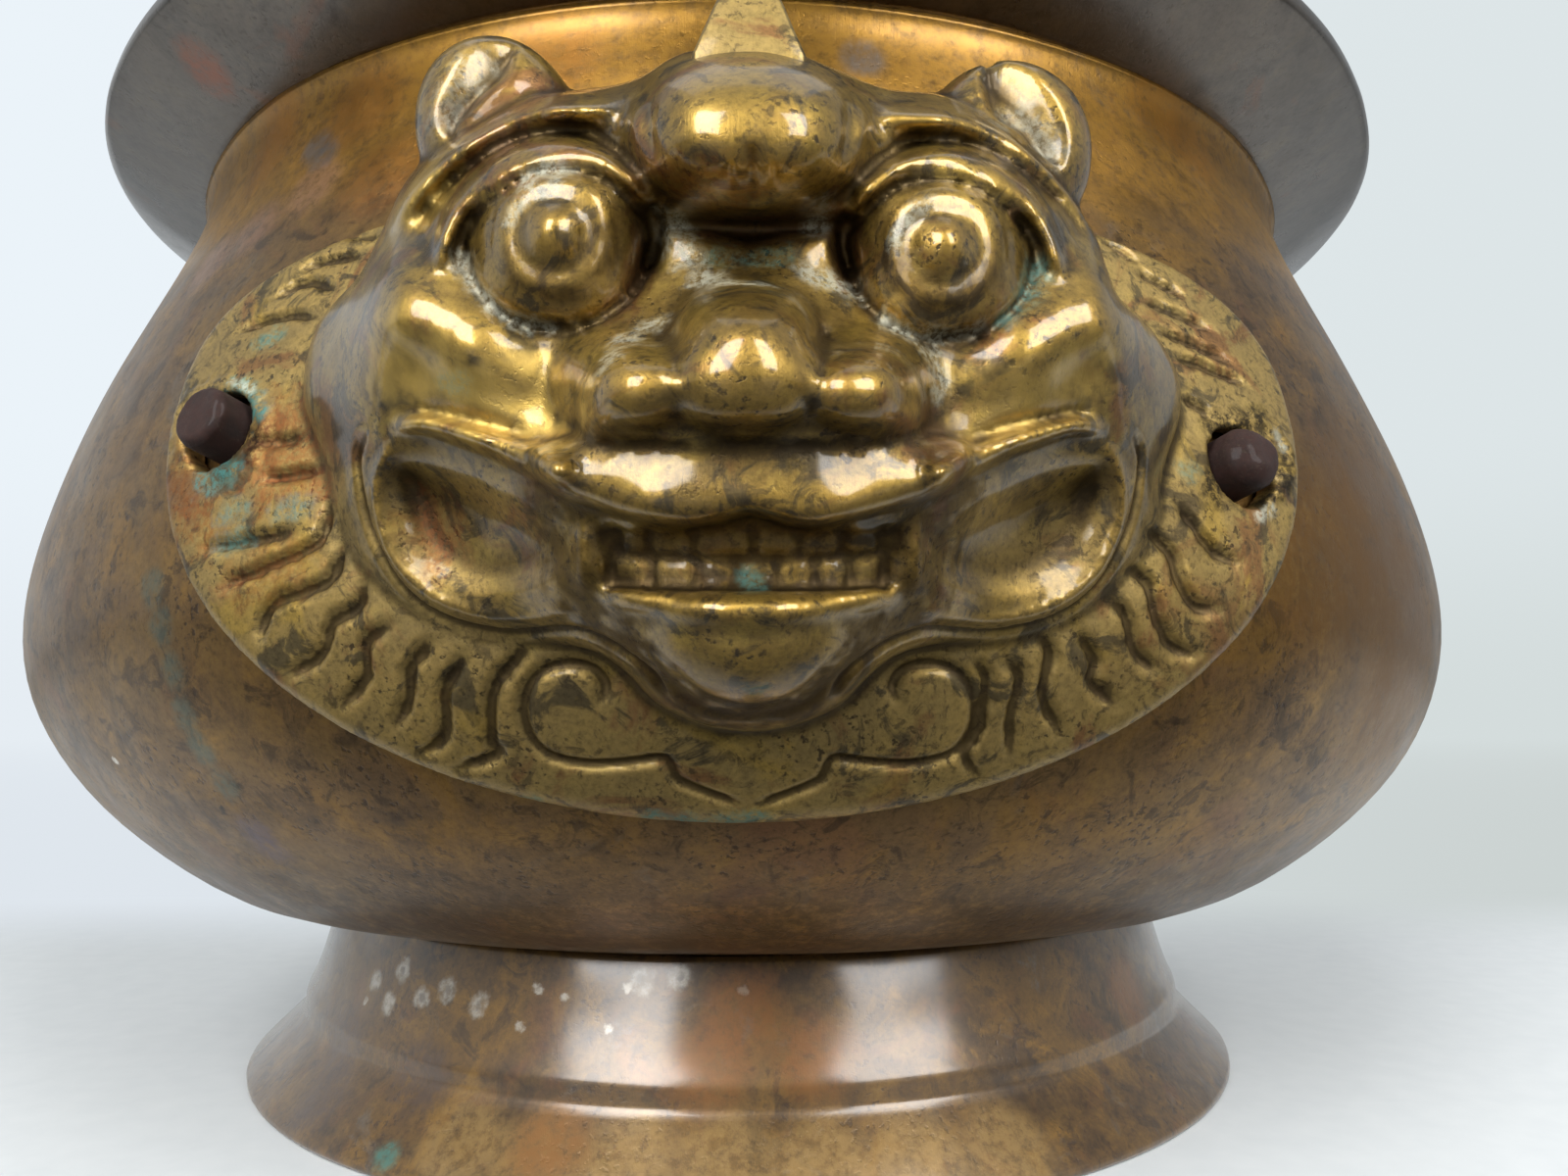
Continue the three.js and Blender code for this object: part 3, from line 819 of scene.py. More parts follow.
def pixelOf(point):
    # the photo pixel at which a point of the scene is seen
    ray = point - eyePoint
    scale = focal / ray.dot(ahead)
    return photoMiddle[0] + ray.dot(toRight) * scale, photoMiddle[1] - ray.dot(upward) * scale


def inSight(u, v, out):
    # the point seen at a pixel that stands so many mm in front of the belly's line
    way = sightLine(u, v)
    return eyePoint + way * ((-(vessel["belly"][0] + out) * mm - eyePoint.y) / way.y)


def joinRings(bm, rings):
    # faces between closed rings of points, and one that fills the first ring
    for inner, outer in zip(rings, rings[1:]):
        for j in range(len(inner)):
            k = (j + 1) % len(inner)
            bm.faces.new((inner[j], outer[j], outer[k], inner[k]))
    bm.faces.new(rings[0])


def addHead(bm):
    # the face's skin on rings of pixels, closed behind by a wall along the camera's sight
    rings, spokes = head["rings"], head["spokes"]
    edge = pixelCurve(headOutline + headOutline[:1], 2.0)
    middle = numpy.array(headMiddle)
    turns = numpy.arctan2(*(edge - middle).T)
    order = numpy.argsort(turns)
    angles = numpy.linspace(-math.pi, math.pi, spokes, endpoint=False)
    reach = numpy.interp(angles, turns[order], numpy.hypot(*(edge - middle).T)[order], period=2 * math.pi)
    ways = numpy.c_[numpy.sin(angles), numpy.cos(angles)]
    shares = (numpy.arange(rings) + 1) / rings
    places = (middle + shares[:, None, None] * reach[None, :, None] * ways[None]).reshape(-1, 2)
    out = faceHeights(places)
    gap = ((1 - shares)[:, None] * reach[None, :]).reshape(-1)
    turnAway = numpy.clip(1 - gap / head["edgeWidth"], 0, 1)
    out -= head["edgeDrop"] * (1 - numpy.sqrt(1 - turnAway ** 2))
    skin = [bm.verts.new(inSight(u, v, height)) for (u, v), height in zip(places.tolist(), out.tolist())]
    behind = [bm.verts.new(inSight(u, v, head["back"])) for u, v in places[-spokes:].tolist()]
    joinRings(bm, [skin[i:i + spokes] for i in range(0, rings * spokes, spokes)] + [behind])
    bm.faces.new(behind)
    bmesh.ops.recalc_face_normals(bm, faces=bm.faces)


def addMesh(bm, mesh):
    bm.from_mesh(mesh)
    bpy.data.meshes.remove(mesh)


def addEars(bm):
    for (across, out, up), half, lean in ears.values():
        ball = bmesh.new()
        bmesh.ops.create_uvsphere(ball, u_segments=48, v_segments=24, radius=1)
        mesh = meshOf("ear", ball)
        place = Vector((across, -(vessel["belly"][0] + out), vessel["belly"][1] + up)) * mm
        turn = Matrix.Rotation(math.radians(lean), 4, "Y")
        mesh.transform(Matrix.Translation(place) @ turn @ Matrix.Diagonal((*[h * mm for h in half], 1)))
        addMesh(bm, mesh)


def addFlange(bm):
    # the mane: a sheet with a rounded edge and two stud holes that follows the bowl
    sheet = bmesh.new()
    rings, spokes = flange["rings"], flange["spokes"]
    grid = []
    for i in range(rings):
        turn = []
        for j in range(spokes):
            angle = 2 * math.pi * j / spokes
            reach = flangeReach(angle) * (1 - (1 - (i + 1) / rings) ** 1.2)
            x = flange["middle"] + reach * math.cos(angle)
            z = flange["waistHeight"] + reach * math.sin(angle)
            turn.append(sheet.verts.new((x, 0, z)))
        grid.append(turn)
    joinRings(sheet, grid)
    for v in sheet.verts:
        radius = bowlRadiusAt(v.co.z) + seatGap
        v.co.y = -math.sqrt(max(radius * radius - v.co.x * v.co.x, 0))
        v.co *= mm
    holeRadius = (rivet["radius"] + rivet["holeSlack"]) * mm
    for side in rivetSpots:
        across = rivetPlace(side).inverted()
        inHole = [f for f in sheet.faces if (across @ f.calc_center_median()).to_2d().length < holeRadius]
        rim = {v for f in inHole for v in f.verts if any(g not in inHole for g in v.link_faces)}
        bmesh.ops.delete(sheet, geom=inHole, context="FACES")
        for v in rim:
            local = across @ v.co
            local.xy = local.xy * (holeRadius / local.xy.length)
            v.co = rivetPlace(side) @ local
    raised = bmesh.ops.extrude_face_region(sheet, geom=sheet.faces[:], use_keep_orig=True)["geom"]
    edgeRound = flange["edgeRound"]
    for v in raised:
        if isinstance(v, bmesh.types.BMVert):
            near = min(flangeEdgeGap(v.co), 2 * edgeRound)
            height = flange["thickness"] - edgeRound * (1 - near / (2 * edgeRound)) ** 2
            v.co += Vector((v.co.x, v.co.y, 0)).normalized() * height * mm
    bmesh.ops.recalc_face_normals(sheet, faces=sheet.faces)
    addMesh(bm, meshOf("flangeSheet", sheet))


def flangeEdgeGap(place):
    # how far a point lies inside the flange's outline, in mm
    x = place.x / mm - flange["middle"]
    z = place.z / mm - flange["waistHeight"]
    return max(0.0, flangeReach(math.atan2(z, x)) - math.hypot(x, z))


def seatOnBowl(bm):
    # nothing of the mask lies inside the bowl's skin
    backs = []
    for v in bm.verts:
        radius = (bowlRadiusAt(v.co.z / mm) + seatGap) * mm
        across = math.hypot(v.co.x, v.co.y)
        if across < radius + 0.05 * mm:
            backs.append(v.index)
            v.co.x *= radius / across
            v.co.y *= radius / across
    return backs


def refresh(sculpt):
    bm = sculpt["bm"]
    bm.normal_update()
    bm.verts.ensure_lookup_table()
    sculpt["tree"] = treeOf([v.co for v in bm.verts])
    sculpt["skin"] = BVHTree.FromBMesh(bm)


def treeOf(places):
    tree = KDTree(len(places))
    for i, place in enumerate(places):
        tree.insert(place, i)
    tree.balance()
    return tree


def traced(sculpt, pixels):
    # points and normals where a smooth line through the pixels meets the skin
    flat = [Vector((u, v, 0)) for u, v in pixels]
    hits = []
    for point in curveThrough(flat, carving["step"]) if len(flat) > 1 else flat:
        place, normal, _, _ = sculpt["skin"].ray_cast(eyePoint, sightLine(point.x, point.y))
        if place is None:
            continue
        far = (place - eyePoint).length
        if not hits or abs(far - (hits[-1][0] - eyePoint).length) <= carving["jump"] * mm:
            hits.append((place, normal))
    smooth = []
    for i, (place, _) in enumerate(hits):
        near = [normal for _, normal in hits[max(0, i - 3):i + 4]]
        smooth.append((place, sum(near, Vector()).normalized()))
    return smooth


def nearest(sculpt, samples, width):
    # each point of the skin within width mm of the samples: point, sample, share of the width
    found = {}
    for i, (place, _) in enumerate(samples):
        for _, index, distance in sculpt["tree"].find_range(place, width * mm):
            if distance < found.get(index, (width * mm, 0))[0]:
                found[index] = (distance, i)
    verts = sculpt["bm"].verts
    return [(verts[index], i, distance / (width * mm)) for index, (distance, i) in found.items()]


def drawLine(sculpt, pixels, width, height, rag=0.0):
    # raises or cuts the skin along a line, width mm to either side
    samples = traced(sculpt, pixels)
    ends = max(1, min(8, len(samples) // 4))
    closed = len(samples) < 3 or (samples[0][0] - samples[-1][0]).length < carving["closed"] * mm
    for v, i, t in nearest(sculpt, samples, width):
        if rag:
            t *= 1 + rag * noise.noise(v.co / (carving["rag"] * mm))
        if t < 1:
            fade = 1 if closed else min(1, (i + 1) / ends, (len(samples) - i) / ends)
            v.co += samples[i][1] * height * mm * (1 - t * t) ** 2 * fade


def hollowDish(sculpt, pixels, depth, rim):
    # scoops the skin inside a closed outline, with a rounded rim
    outline = traced(sculpt, pixels + pixels[:1])
    middle = sum((p for p, _ in outline), Vector()) / len(outline)
    reach = max((p - middle).length for p, _ in outline) * 1.25
    inward = -sum((n for _, n in outline), Vector()).normalized()
    rimTree = treeOf([place for place, _ in outline])
    near = [sculpt["bm"].verts[index] for _, index, _ in sculpt["tree"].find_range(middle, reach)]
    for v, inside in zip(near, inOutline(numpy.array([pixelOf(v.co) for v in near]), pixels)):
        if inside and v.normal.dot(inward) <= 0:
            t = min(1, rimTree.find(v.co)[2] / (rim * mm))
            v.co += inward * depth * mm * t * t * (3 - 2 * t)


def paint(sculpt, mark, pixels, width, strength):
    # lays a patchy stain along a line
    layers = sculpt["bm"].verts.layers.float
    layer = layers[mark] if mark in layers else layers.new(mark)
    large, small = carving["patches"]
    for v, _, t in nearest(sculpt, traced(sculpt, pixels), width):
        patch = noise.noise(v.co / (large * mm)) + 0.5 * noise.noise(v.co / (small * mm))
        v[layer] = max(v[layer], strength * max(0.0, min(1.0, 1.35 - 1.3 * t + 0.9 * patch)))


def markRelief(bm):
    # fine and broad: above 0 on crests, which a hand rubs, below 0 in hollows, which keep their dirt. Both
    # come from the skin against a blurred copy.
    for mark, rounds, full in reliefMarks:
        blurred = modified(bm.copy(), {"SMOOTH": {"iterations": rounds}})
        layer = bm.verts.layers.float.new(mark)
        for v, soft in zip(bm.verts, blurred.vertices):
            v[layer] = max(-1.0, min(1.0, (v.co - soft.co).dot(v.normal) / (full * mm)))
        bpy.data.meshes.remove(blurred)
    # stand: 0 on the mane, 1 on the head
    stand = bm.verts.layers.float.new("stand")
    for v in bm.verts:
        height = math.hypot(v.co.x, v.co.y) / mm - bowlRadiusAt(v.co.z / mm)
        v[stand] = max(0.0, min(1.0, (height - flange["standsTo"]) / flange["standsOver"]))


def carveFace(sculpt):
    depth, width = head["lumps"]
    for v in sculpt["bm"].verts:
        v.co += v.normal * depth * mm * noise.noise(v.co / (width * mm))
    for pixels, depth, rim in earDishes.values():
        hollowDish(sculpt, pixels, depth, rim)
    refresh(sculpt)
    for pixels, width, height, drop, rag in faceLines.values():
        for line in bothSides(pixels, drop):
            drawLine(sculpt, line, width, height, rag)
    refresh(sculpt)
    for columns, (top, bottom), width, height in toothGaps.values():
        for column in columns:
            drawLine(sculpt, [(column, row) for row in (top, (top + bottom) / 2, bottom)], width, height)
    for line in maneLines:
        drawLine(sculpt, line, *maneCut)
    for centre, radius in holeCrust.values():
        drawLine(sculpt, ringPixels(centre, radius), *crustRidge)
    refresh(sculpt)
    for mark, width, strength, lines in stains:
        for line in lines:
            paint(sculpt, mark, line, width, strength)


def makeMask():
    bm = bmesh.new()
    addHead(bm)
    addEars(bm)
    addFlange(bm)
    # one even skin, seated on the bowl, whose hidden back then needs few faces
    skin = {
        "REMESH": {"mode": "VOXEL", "voxel_size": head["grain"] * mm},
        "SMOOTH": {"factor": 0.5, "iterations": 3},
    }
    mesh = modified(bm, skin)
    bm = bmesh.new()
    addMesh(bm, mesh)
    backs = seatOnBowl(bm)
    share = 1 - head["thinBack"] * len(backs) / len(bm.verts)
    mesh = modified(bm, {"DECIMATE": {"vertex_group": "group", "ratio": share}}, backs)
    print("mask roughed out,", len(mesh.vertices), "points")
    bm = bmesh.new()
    addMesh(bm, mesh)
    sculpt = {"bm": bm}
    refresh(sculpt)
    carveFace(sculpt)
    seatOnBowl(bm)
    markRelief(bm)
    return newPiece("frontMaskCasting", bm)


def makeRivet(side):
    # a stud with an open end and a domed head inside the bowl, turned about its own Z
    radius, headRadius = rivet["radius"], rivet["headRadius"]
    r = rivet["endRound"][side]
    end = seatGap + flange["thickness"] + rivet["reach"]
    headTop = -vessel["wall"] - seatGap
    headBottom = headTop - rivet["headHeight"]
    rim = headTop - rivet["headDish"]
    profile = bezierPoints(
        (0, headBottom), (headRadius * 0.55, headBottom), (headRadius, rim - 1.2), (headRadius, rim), 12,
    )
    profile += [(radius, headTop)]
    profile += bezierPoints(
        (radius, end - r), (radius, end - r * 0.45), (radius - r * 0.55, end), (radius - r, end), 8,
    )
    profile += [(0, end)]
    ripples = [(3, 0.25), (0.9, 0.08)]
    return turnedPiece(f"{side}Stud", profile, rivet["segments"], ripples, lie=rivetPlace(side))


def makeHorn():
    # a four-sided spike whose edges catch the light
    bm = bmesh.new()
    bmesh.ops.create_cube(bm, size=1)
    middle = horn["front"] + horn["thickness"] / 2
    for v in bm.verts:
        top = v.co.z > 0
        width = horn["tipWidth"] if top else horn["width"]
        thickness = horn["tipThickness"] if top else horn["thickness"]
        height = horn["seat"] + horn["height"] if top else horn["seat"]
        v.co = Vector((v.co.x * width, middle + v.co.y * thickness, height)) * mm
    base = min(bm.faces, key=lambda f: f.calc_center_median().z)
    moved = bmesh.ops.extrude_discrete_faces(bm, faces=[base])["faces"]
    bmesh.ops.translate(bm, vec=(0, 0, -horn["sunk"] * mm), verts=moved[0].verts[:])
    bmesh.ops.remove_doubles(bm, verts=bm.verts, dist=1e-6)
    bmesh.ops.bevel(
        bm, geom=[e for e in bm.edges if e.calc_face_angle(0) > 0.6], offset=horn["edge"] * mm,
        affect="EDGES", segments=3, profile=0.5, material=-1,
    )
    bmesh.ops.recalc_face_normals(bm, faces=bm.faces)
    bmesh.ops.subdivide_edges(bm, edges=bm.edges, cuts=3, use_grid_fill=True)
    ripple(bm, 5, 0.2)
    return newPiece("crownHorn", bm)


frontPieces = {
    "mask": (makeMask(), "mask_bronze"),
    "horn": (makeHorn(), "horn_bronze"),
    "left_rivet": (makeRivet("left"), "rivet_copper"),
    "right_rivet": (makeRivet("right"), "rivet_copper"),
}
maskGroup = []
for name, (front, slotName) in frontPieces.items():
    rear = placed(front.name + "Rear", front.data.copy())
    rear.data.transform(Matrix.Rotation(math.pi, 4, "Z"))
    for end, piece in (("front", front), ("rear", rear)):
        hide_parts(f"{end}_{name}")
        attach(piece, "root")
        maskGroup.append((name, piece))
print("masks made,", len(frontPieces["mask"][0].data.polygons), "faces each")


# Finishes

def startNodes(owner):
    # empties the nodes of a material or a world, and gives the function that adds one
    owner.use_nodes = True
    tree = owner.node_tree
    tree.nodes.clear()

    def add(kind, settings=None, *values, output=0):
        # settings: the node's properties, its sockets by name, or a ramp's stops; values: its live sockets in
        # order. A socket takes a value, a hex colour or another node's output.
        node = tree.nodes.new("ShaderNode" + kind)
        given = []
        for key, value in (settings or {}).items():
            if key == "stops":
                elements = node.color_ramp.elements
                while len(elements) < len(value):
                    elements.new(0.5)
                for element, (position, colour) in zip(elements, value):
                    element.position = position
                    element.color = linearColour(colour) if isinstance(colour, str) else (colour,) * 3 + (1,)
            elif key in node.bl_rna.properties:
                setattr(node, key, value)
            else:
                given.append((node.inputs[key], value))
        given += zip([socket for socket in node.inputs if socket.enabled], values)
        for socket, value in given:
            if isinstance(value, bpy.types.NodeSocket):
                tree.links.new(value, socket)
            else:
                socket.default_value = linearColour(value) if isinstance(value, str) else value
        live = [socket for socket in node.outputs if socket.enabled]
        return node.outputs[output] if isinstance(output, str) else live[output] if live else None

    return add


def linearColour(hexText):
    # sRGB hex to the linear values that shaders take
    channels = [int(hexText[i:i + 2], 16) / 255 for i in (1, 3, 5)]
    linear = [c / 12.92 if c <= 0.04045 else ((c + 0.055) / 1.055) ** 2.4 for c in channels]
    return (*linear, 1.0)


# settings that many nodes share
times, plus, minus, most = (
    {"operation": operation, "use_clamp": True} for operation in ("MULTIPLY", "ADD", "SUBTRACT", "MAXIMUM")
)
mix = {"data_type": "RGBA"}
smooth = {"interpolation_type": "SMOOTHSTEP"}


def agedBronze(name, look):
    # cast bronze under a thin brown patina and old wax: mottled, finely speckled, brassy where it is
    # rubbed, dark and gritty where dirt lies, with a clear gloss on top
    material = bpy.data.materials.new(name)
    add = startNodes(material)
    place = add("TexCoord", output="Object")

    def grain(size, seed, detail, roughness=0.6, distortion=0.0, stretch=(1, 1, 1)):
        shifted = add("Mapping", {"Location": (seed, seed * 1.7, -seed), "Scale": stretch, "Vector": place})
        return add("TexNoise", {
            "Scale": 1 / (size * mm), "Detail": detail, "Roughness": roughness, "Distortion": distortion,
            "Vector": shifted,
        })

    # mottled ground: two sizes of cloud, then fine grain
    cloudSize, mottleSize, grainSize = look["cloudSize"], look["mottleSize"], look["grainSize"]
    clouds = add("ValToRGB", {"stops": look["clouds"]}, grain(cloudSize, 0.1, 5, 0.62, 0.5))
    mottle = add("ValToRGB", {"stops": look["mottle"]}, grain(mottleSize, 0.2, 6, 0.7, 0.3))
    between = add("ValToRGB", {"stops": [(0.38, 0.2), (0.62, 0.8)]}, grain(cloudSize * 0.35, 0.3, 4))
    colour = add("Mix", mix, between, clouds, mottle)
    worn = "brass" in look
    if worn:
        # brass shows on the rubbed high places
        fine, broad, stand = (
            add("Attribute", {"attribute_name": mark}, output="Fac") for mark in ("fine", "broad", "stand")
        )
        rubbed = add("Math", plus, add("Math", times, broad, 0.6), add("Math", times, fine, 0.4))
        uneven = add("ValToRGB", {"stops": [(0.3, 0.35), (0.6, 1.0)]}, grain(3.5, 1.1, 4, 0.65))
        rubbed = add("Math", times, rubbed, uneven)
        colour = add("Mix", mix, rubbed, colour, look["brass"])
        onMane = add("Math", minus, 0.5, add("Math", times, stand, 0.5))
        colour = add("Mix", mix, onMane, colour, look["mane"])
    for seed, size, low, high, share, tint in look["patches"]:
        patch = add("ValToRGB", {"stops": [(low, 0.0), (high, share)]}, grain(size, seed, 5, 0.66, 1.2))
        colour = add("Mix", mix, patch, colour, tint)
    grit = add("ValToRGB", {"stops": [(0.3, 0.55), (0.5, 1.0), (0.72, 1.25)]}, grain(grainSize, 0.7, 3, 0.75))
    colour = add("Mix", mix | {"blend_type": "MULTIPLY"}, look["gritShare"], colour, grit)

    # dark specks, thick in some places and absent in others
    specks = add("ValToRGB", {"stops": [(0.56, 0.0), (0.66, 1.0)]}, grain(look["speckSize"], 0.4, 2.5))
    crowd = add("ValToRGB", {"stops": [(0.42, 0.12), (0.62, 1.0)]}, grain(cloudSize * 0.4, 0.6, 4, 0.62))
    speckle = add("Math", times, specks, crowd)
    colour = add("Mix", mix, add("Math", times, speckle, look["speckShare"]), colour, look["speck"])

    # bands of another tone by height; the bowl's low band is painted shade on its underside
    broken = add("ValToRGB", {"stops": [(0.36, 0.3), (0.56, 1.0)]}, grain(1.5, 2.2, 5, 0.72))
    level = add("SeparateXYZ", None, place, output="Z")
    for low, high, share, tint in look["bands"]:
        band = add("MapRange", smooth, level, low * mm, high * mm, 0.0, share)
        colour = add("Mix", mix, add("Math", times, band, broken), colour, tint)

    # marks with a ragged edge, each where the camera sees its pixel: stains, and on the bowl also painted
    # shade and a painted reflection
    spread, ragSize = look["rag"]
    ragged = add("TexNoise", {
        "Scale": 1 / (ragSize * mm), "Detail": 4, "Roughness": 0.7, "Vector": place,
    }, output="Color")
    nudge = add("VectorMath", {"operation": "MULTIPLY_ADD"}, ragged, (spread * mm,) * 3, place)
    nudge = add("VectorMath", {"operation": "SUBTRACT"}, nudge, (spread / 2 * mm,) * 3)
    for tint, radius, share, pixels in look["marks"]:
        for pixel in pixels:
            hit, spot, _, _ = look["on"].ray_cast(eyePoint, sightLine(*pixel))
            if hit:
                gap = add("VectorMath", {"operation": "DISTANCE"}, nudge, spot)
                cover = add("MapRange", smooth, gap, radius * 1.15 * mm, radius * 0.45 * mm, 0.0, share)
                colour = add("Mix", mix, add("Math", times, cover, broken), colour, tint)

    dull, duller = look["rough"]
    roughness = add("ValToRGB", {"stops": [(0.32, dull), (0.68, duller)]}, grain(mottleSize * 1.6, 0.8, 5))
    relief = add("Math", times, grain(grainSize, 0.9, 4, 0.7), look["bump"])
    relief = add("Math", plus, relief, add("Math", times, grain(look["waveSize"], 2.6, 2, 0.5), look["wave"]))
    relief = add("Math", minus, relief, add("Math", times, speckle, 0.35))
    hairs = grain(0.16, 1.9, 2, 0.5, stretch=(1, 0.3, 0.05))
    relief = add("Math", plus, relief, add("Math", times, hairs, look["hairs"]))
    metal, wax = look["metal"], look["wax"]

    if worn:
        # dirt and wax fill the low places, and the stains lie over both, among them painted shade and a
        # painted highlight
        low = add("Math", plus, add("Math", times, broad, -0.9), add("Math", times, fine, -0.75))
        dirt = add("ValToRGB", {"stops": [(0.15, 0.0), (0.85, 1.0)]}, low)
        colour = add("Mix", mix, add("Math", times, dirt, 0.78), colour, look["dirt"])
        wax = add("Math", times, add("Math", plus, add("Math", times, stand, 0.7), 0.3), wax)
        roughness = add("Mix", mix, onMane, roughness, "#cbcbcb")
        wax = add("Math", minus, wax, add("Math", times, dirt, 0.7))
        grittyDirt = add("Math", times, dirt, grain(0.3, 1.2, 3, 0.8))
        relief = add("Math", plus, relief, add("Math", times, grittyDirt, 0.9))
        patchy = add("ValToRGB", {"stops": [(0.4, 0.15), (0.56, 1.0)]}, grain(0.7, 1.3, 4, 0.75))
        crumbs = add("Math", times, grain(0.35, 1.4, 3, 0.8), 0.8)
        for attribute, tint, amount in look["stains"]:
            patch = add("Attribute", {"attribute_name": attribute}, output="Fac")
            if attribute not in ("grime", "gilt"):
                patch = add("Math", times, patch, patchy)
            cover = add("Math", times, patch, amount)
            colour = add("Mix", mix, cover, colour, tint)
            if attribute != "gilt":
                roughness = add("Mix", mix, cover, roughness, "#d0d0d0")
                wax = add("Math", minus, wax, cover)
            if attribute in ("verdigris", "pale"):
                metal = add("Math", minus, metal, add("Math", times, cover, 0.75))
                relief = add("Math", plus, relief, add("Math", times, cover, crumbs))

    bump = add("Bump", {"Strength": 0.6, "Distance": 0.1 * mm, "Height": relief})
    shader = add("BsdfPrincipled", {
        "Base Color": colour, "Roughness": roughness, "Normal": bump, "Metallic": metal,
        "Coat Weight": wax, "Coat Roughness": look["waxRough"],
    })
    add("OutputMaterial", {"Surface": shader})
    return material


# patches: seed, size in mm, where they start and are full, share, colour
# bands: heights in mm where they start and are full, share, colour
# marks: colour, radius in mm, share, pixels
# rag: how far the edges of marks stray, and over what length, in mm

# The bowl: mottled brown patina with hardly any wax
bowlLook = {
    "cloudSize": 30, "clouds": [(0.3, "#4e3c29"), (0.44, "#735938"), (0.56, "#7f6336"), (0.72, "#5d4630")],
    "mottleSize": 5, "mottle": [(0.32, "#3f2f1e"), (0.5, "#6f5432"), (0.68, "#916d32")],
    "patches": [
        (2.1, 26, 0.55, 0.66, 0.35, "#7a4c30"),    # reddish brown
        (3.3, 22, 0.60, 0.67, 0.35, "#666663"),    # grey blue
        (4.7, 26, 0.54, 0.66, 0.6, "#8a6524"),     # ochre
        (5.9, 4.5, 0.54, 0.63, 0.65, "#3d2e1d"),   # dark blotches
    ],
    "grainSize": 0.8, "gritShare": 0.55, "bump": 0.35, "hairs": 0.15, "rag": (2.4, 2.5),
    "speckSize": 0.9, "speck": "#33261b", "speckShare": 0.75,
    "waveSize": 9, "wave": 0.5,
    "rough": (0.36, 0.48), "metal": 0.95, "wax": 0.2, "waxRough": 0.2,
    # the second band, darker towards the bottom, is painted shade on the underside
    "bands": [(110, 120, 0.65, "#ac8033"), (45, 32, 0.9, "#3c2910")],
    "on": bowlPiece,
    "marks": [
        ("#56695f", 2.4, 0.5, [(155, 600), (164, 640), (176, 685), (188, 730), (206, 765), (229, 800)]),
        ("#5a4d55", 3.2, 0.6, [(262, 850), (275, 866)]),
        ("#1b1512", 0.8, 0.95, [(227, 827), (1325, 772)]),
        # painted shade in the stud holes, where the bowl shows through
        ("#100d0b", 5.6, 0.98, [(230, 437), (1273, 472)]),
        ("#e8e4da", 0.7, 0.9, [(118, 776)]),
        ("#6f4c18", 15.0, 0.85, [(1425, 610), (1432, 690), (1400, 520), (1350, 560)]),
        ("#9c6a26", 7.0, 0.6, [(285, 120), (275, 160), (1180, 110), (1215, 150)]),
        ("#94602c", 7.5, 0.5, [(372, 110), (390, 180), (560, 60)]),
        ("#59626a", 3.0, 0.6, [(330, 160), (322, 150), (880, 60)]),
        # painted reflection: a pale pinkish sheen on the left of the shoulder
        ("#a88068", 5.0, 0.5, [(215, 270), (262, 232), (320, 190)]),
    ],
}
# The foot: darker brown under a clear coat of wax, with pale rings where drops dried
ringSpots = [(412, 990), (430, 1018), (456, 1010), (489, 1026)]
ringSpotsRight = [(655, 1000), (694, 998)]
footLook = {
    **bowlLook,
    "wax": 1.0, "waxRough": 0.17, "rough": (0.36, 0.5), "metal": 0.4, "on": footPiece, "bands": [],
    "patches": [
        (2.1, 14, 0.55, 0.66, 0.3, "#6a3f22"),
        (3.3, 9, 0.6, 0.68, 0.4, "#5c5a55"),
        (4.7, 12, 0.54, 0.66, 0.6, "#7d5c22"),
        (5.9, 4.5, 0.54, 0.63, 0.6, "#35281a"),
    ],
    "clouds": [(0.3, "#35291b"), (0.44, "#523c1f"), (0.56, "#654a1e"), (0.72, "#423221")],
    "mottle": [(0.32, "#2e241a"), (0.5, "#553e1f"), (0.68, "#745726")],
    "marks": [
        ("#3c7d74", 2.2, 0.6, [(395, 1180)]),
        ("#a19c91", 1.7, 0.8, ringSpots + [(384, 1000), (396, 1024)] + ringSpotsRight),
        ("#5a5047", 0.7, 0.8, ringSpots + ringSpotsRight),
        ("#b5afa2", 0.8, 0.7, [
            (373, 1020), (548, 1010), (640, 1008), (577, 1018), (530, 1050), (622, 1050), (760, 1010),
        ]),
        ("#4b3c33", 6.0, 0.7, [(330, 1120), (350, 1060), (430, 1100)]),
        ("#947848", 7.0, 0.6, [
            (470, 1168), (550, 1180), (640, 1186), (740, 1190), (840, 1189), (940, 1184), (1030, 1174),
        ]),
        ("#74491b", 6.0, 0.7, [(720, 1090), (1150, 1010), (560, 1170), (760, 1030), (830, 1080)]),
    ],
}
# The lip: smooth grey-brown patina
lipLook = {
    **bowlLook,
    "clouds": [(0.3, "#443d36"), (0.5, "#5f564d"), (0.7, "#52463b")],
    "mottle": [(0.3, "#433d38"), (0.5, "#5d564f"), (0.7, "#6b6050")],
    "patches": [(2.1, 26, 0.6, 0.68, 0.35, "#7a4c30")],
    "rough": (0.26, 0.34), "wax": 0.5, "waxRough": 0.15, "speckShare": 0.4, "gritShare": 0.3,
    "on": lipPiece, "bands": [(144.6, 145.6, 0.85, "#6b4f2a")],
    "marks": [("#7d4a33", 4.0, 0.6, [(205, 62), (215, 80)])],
}
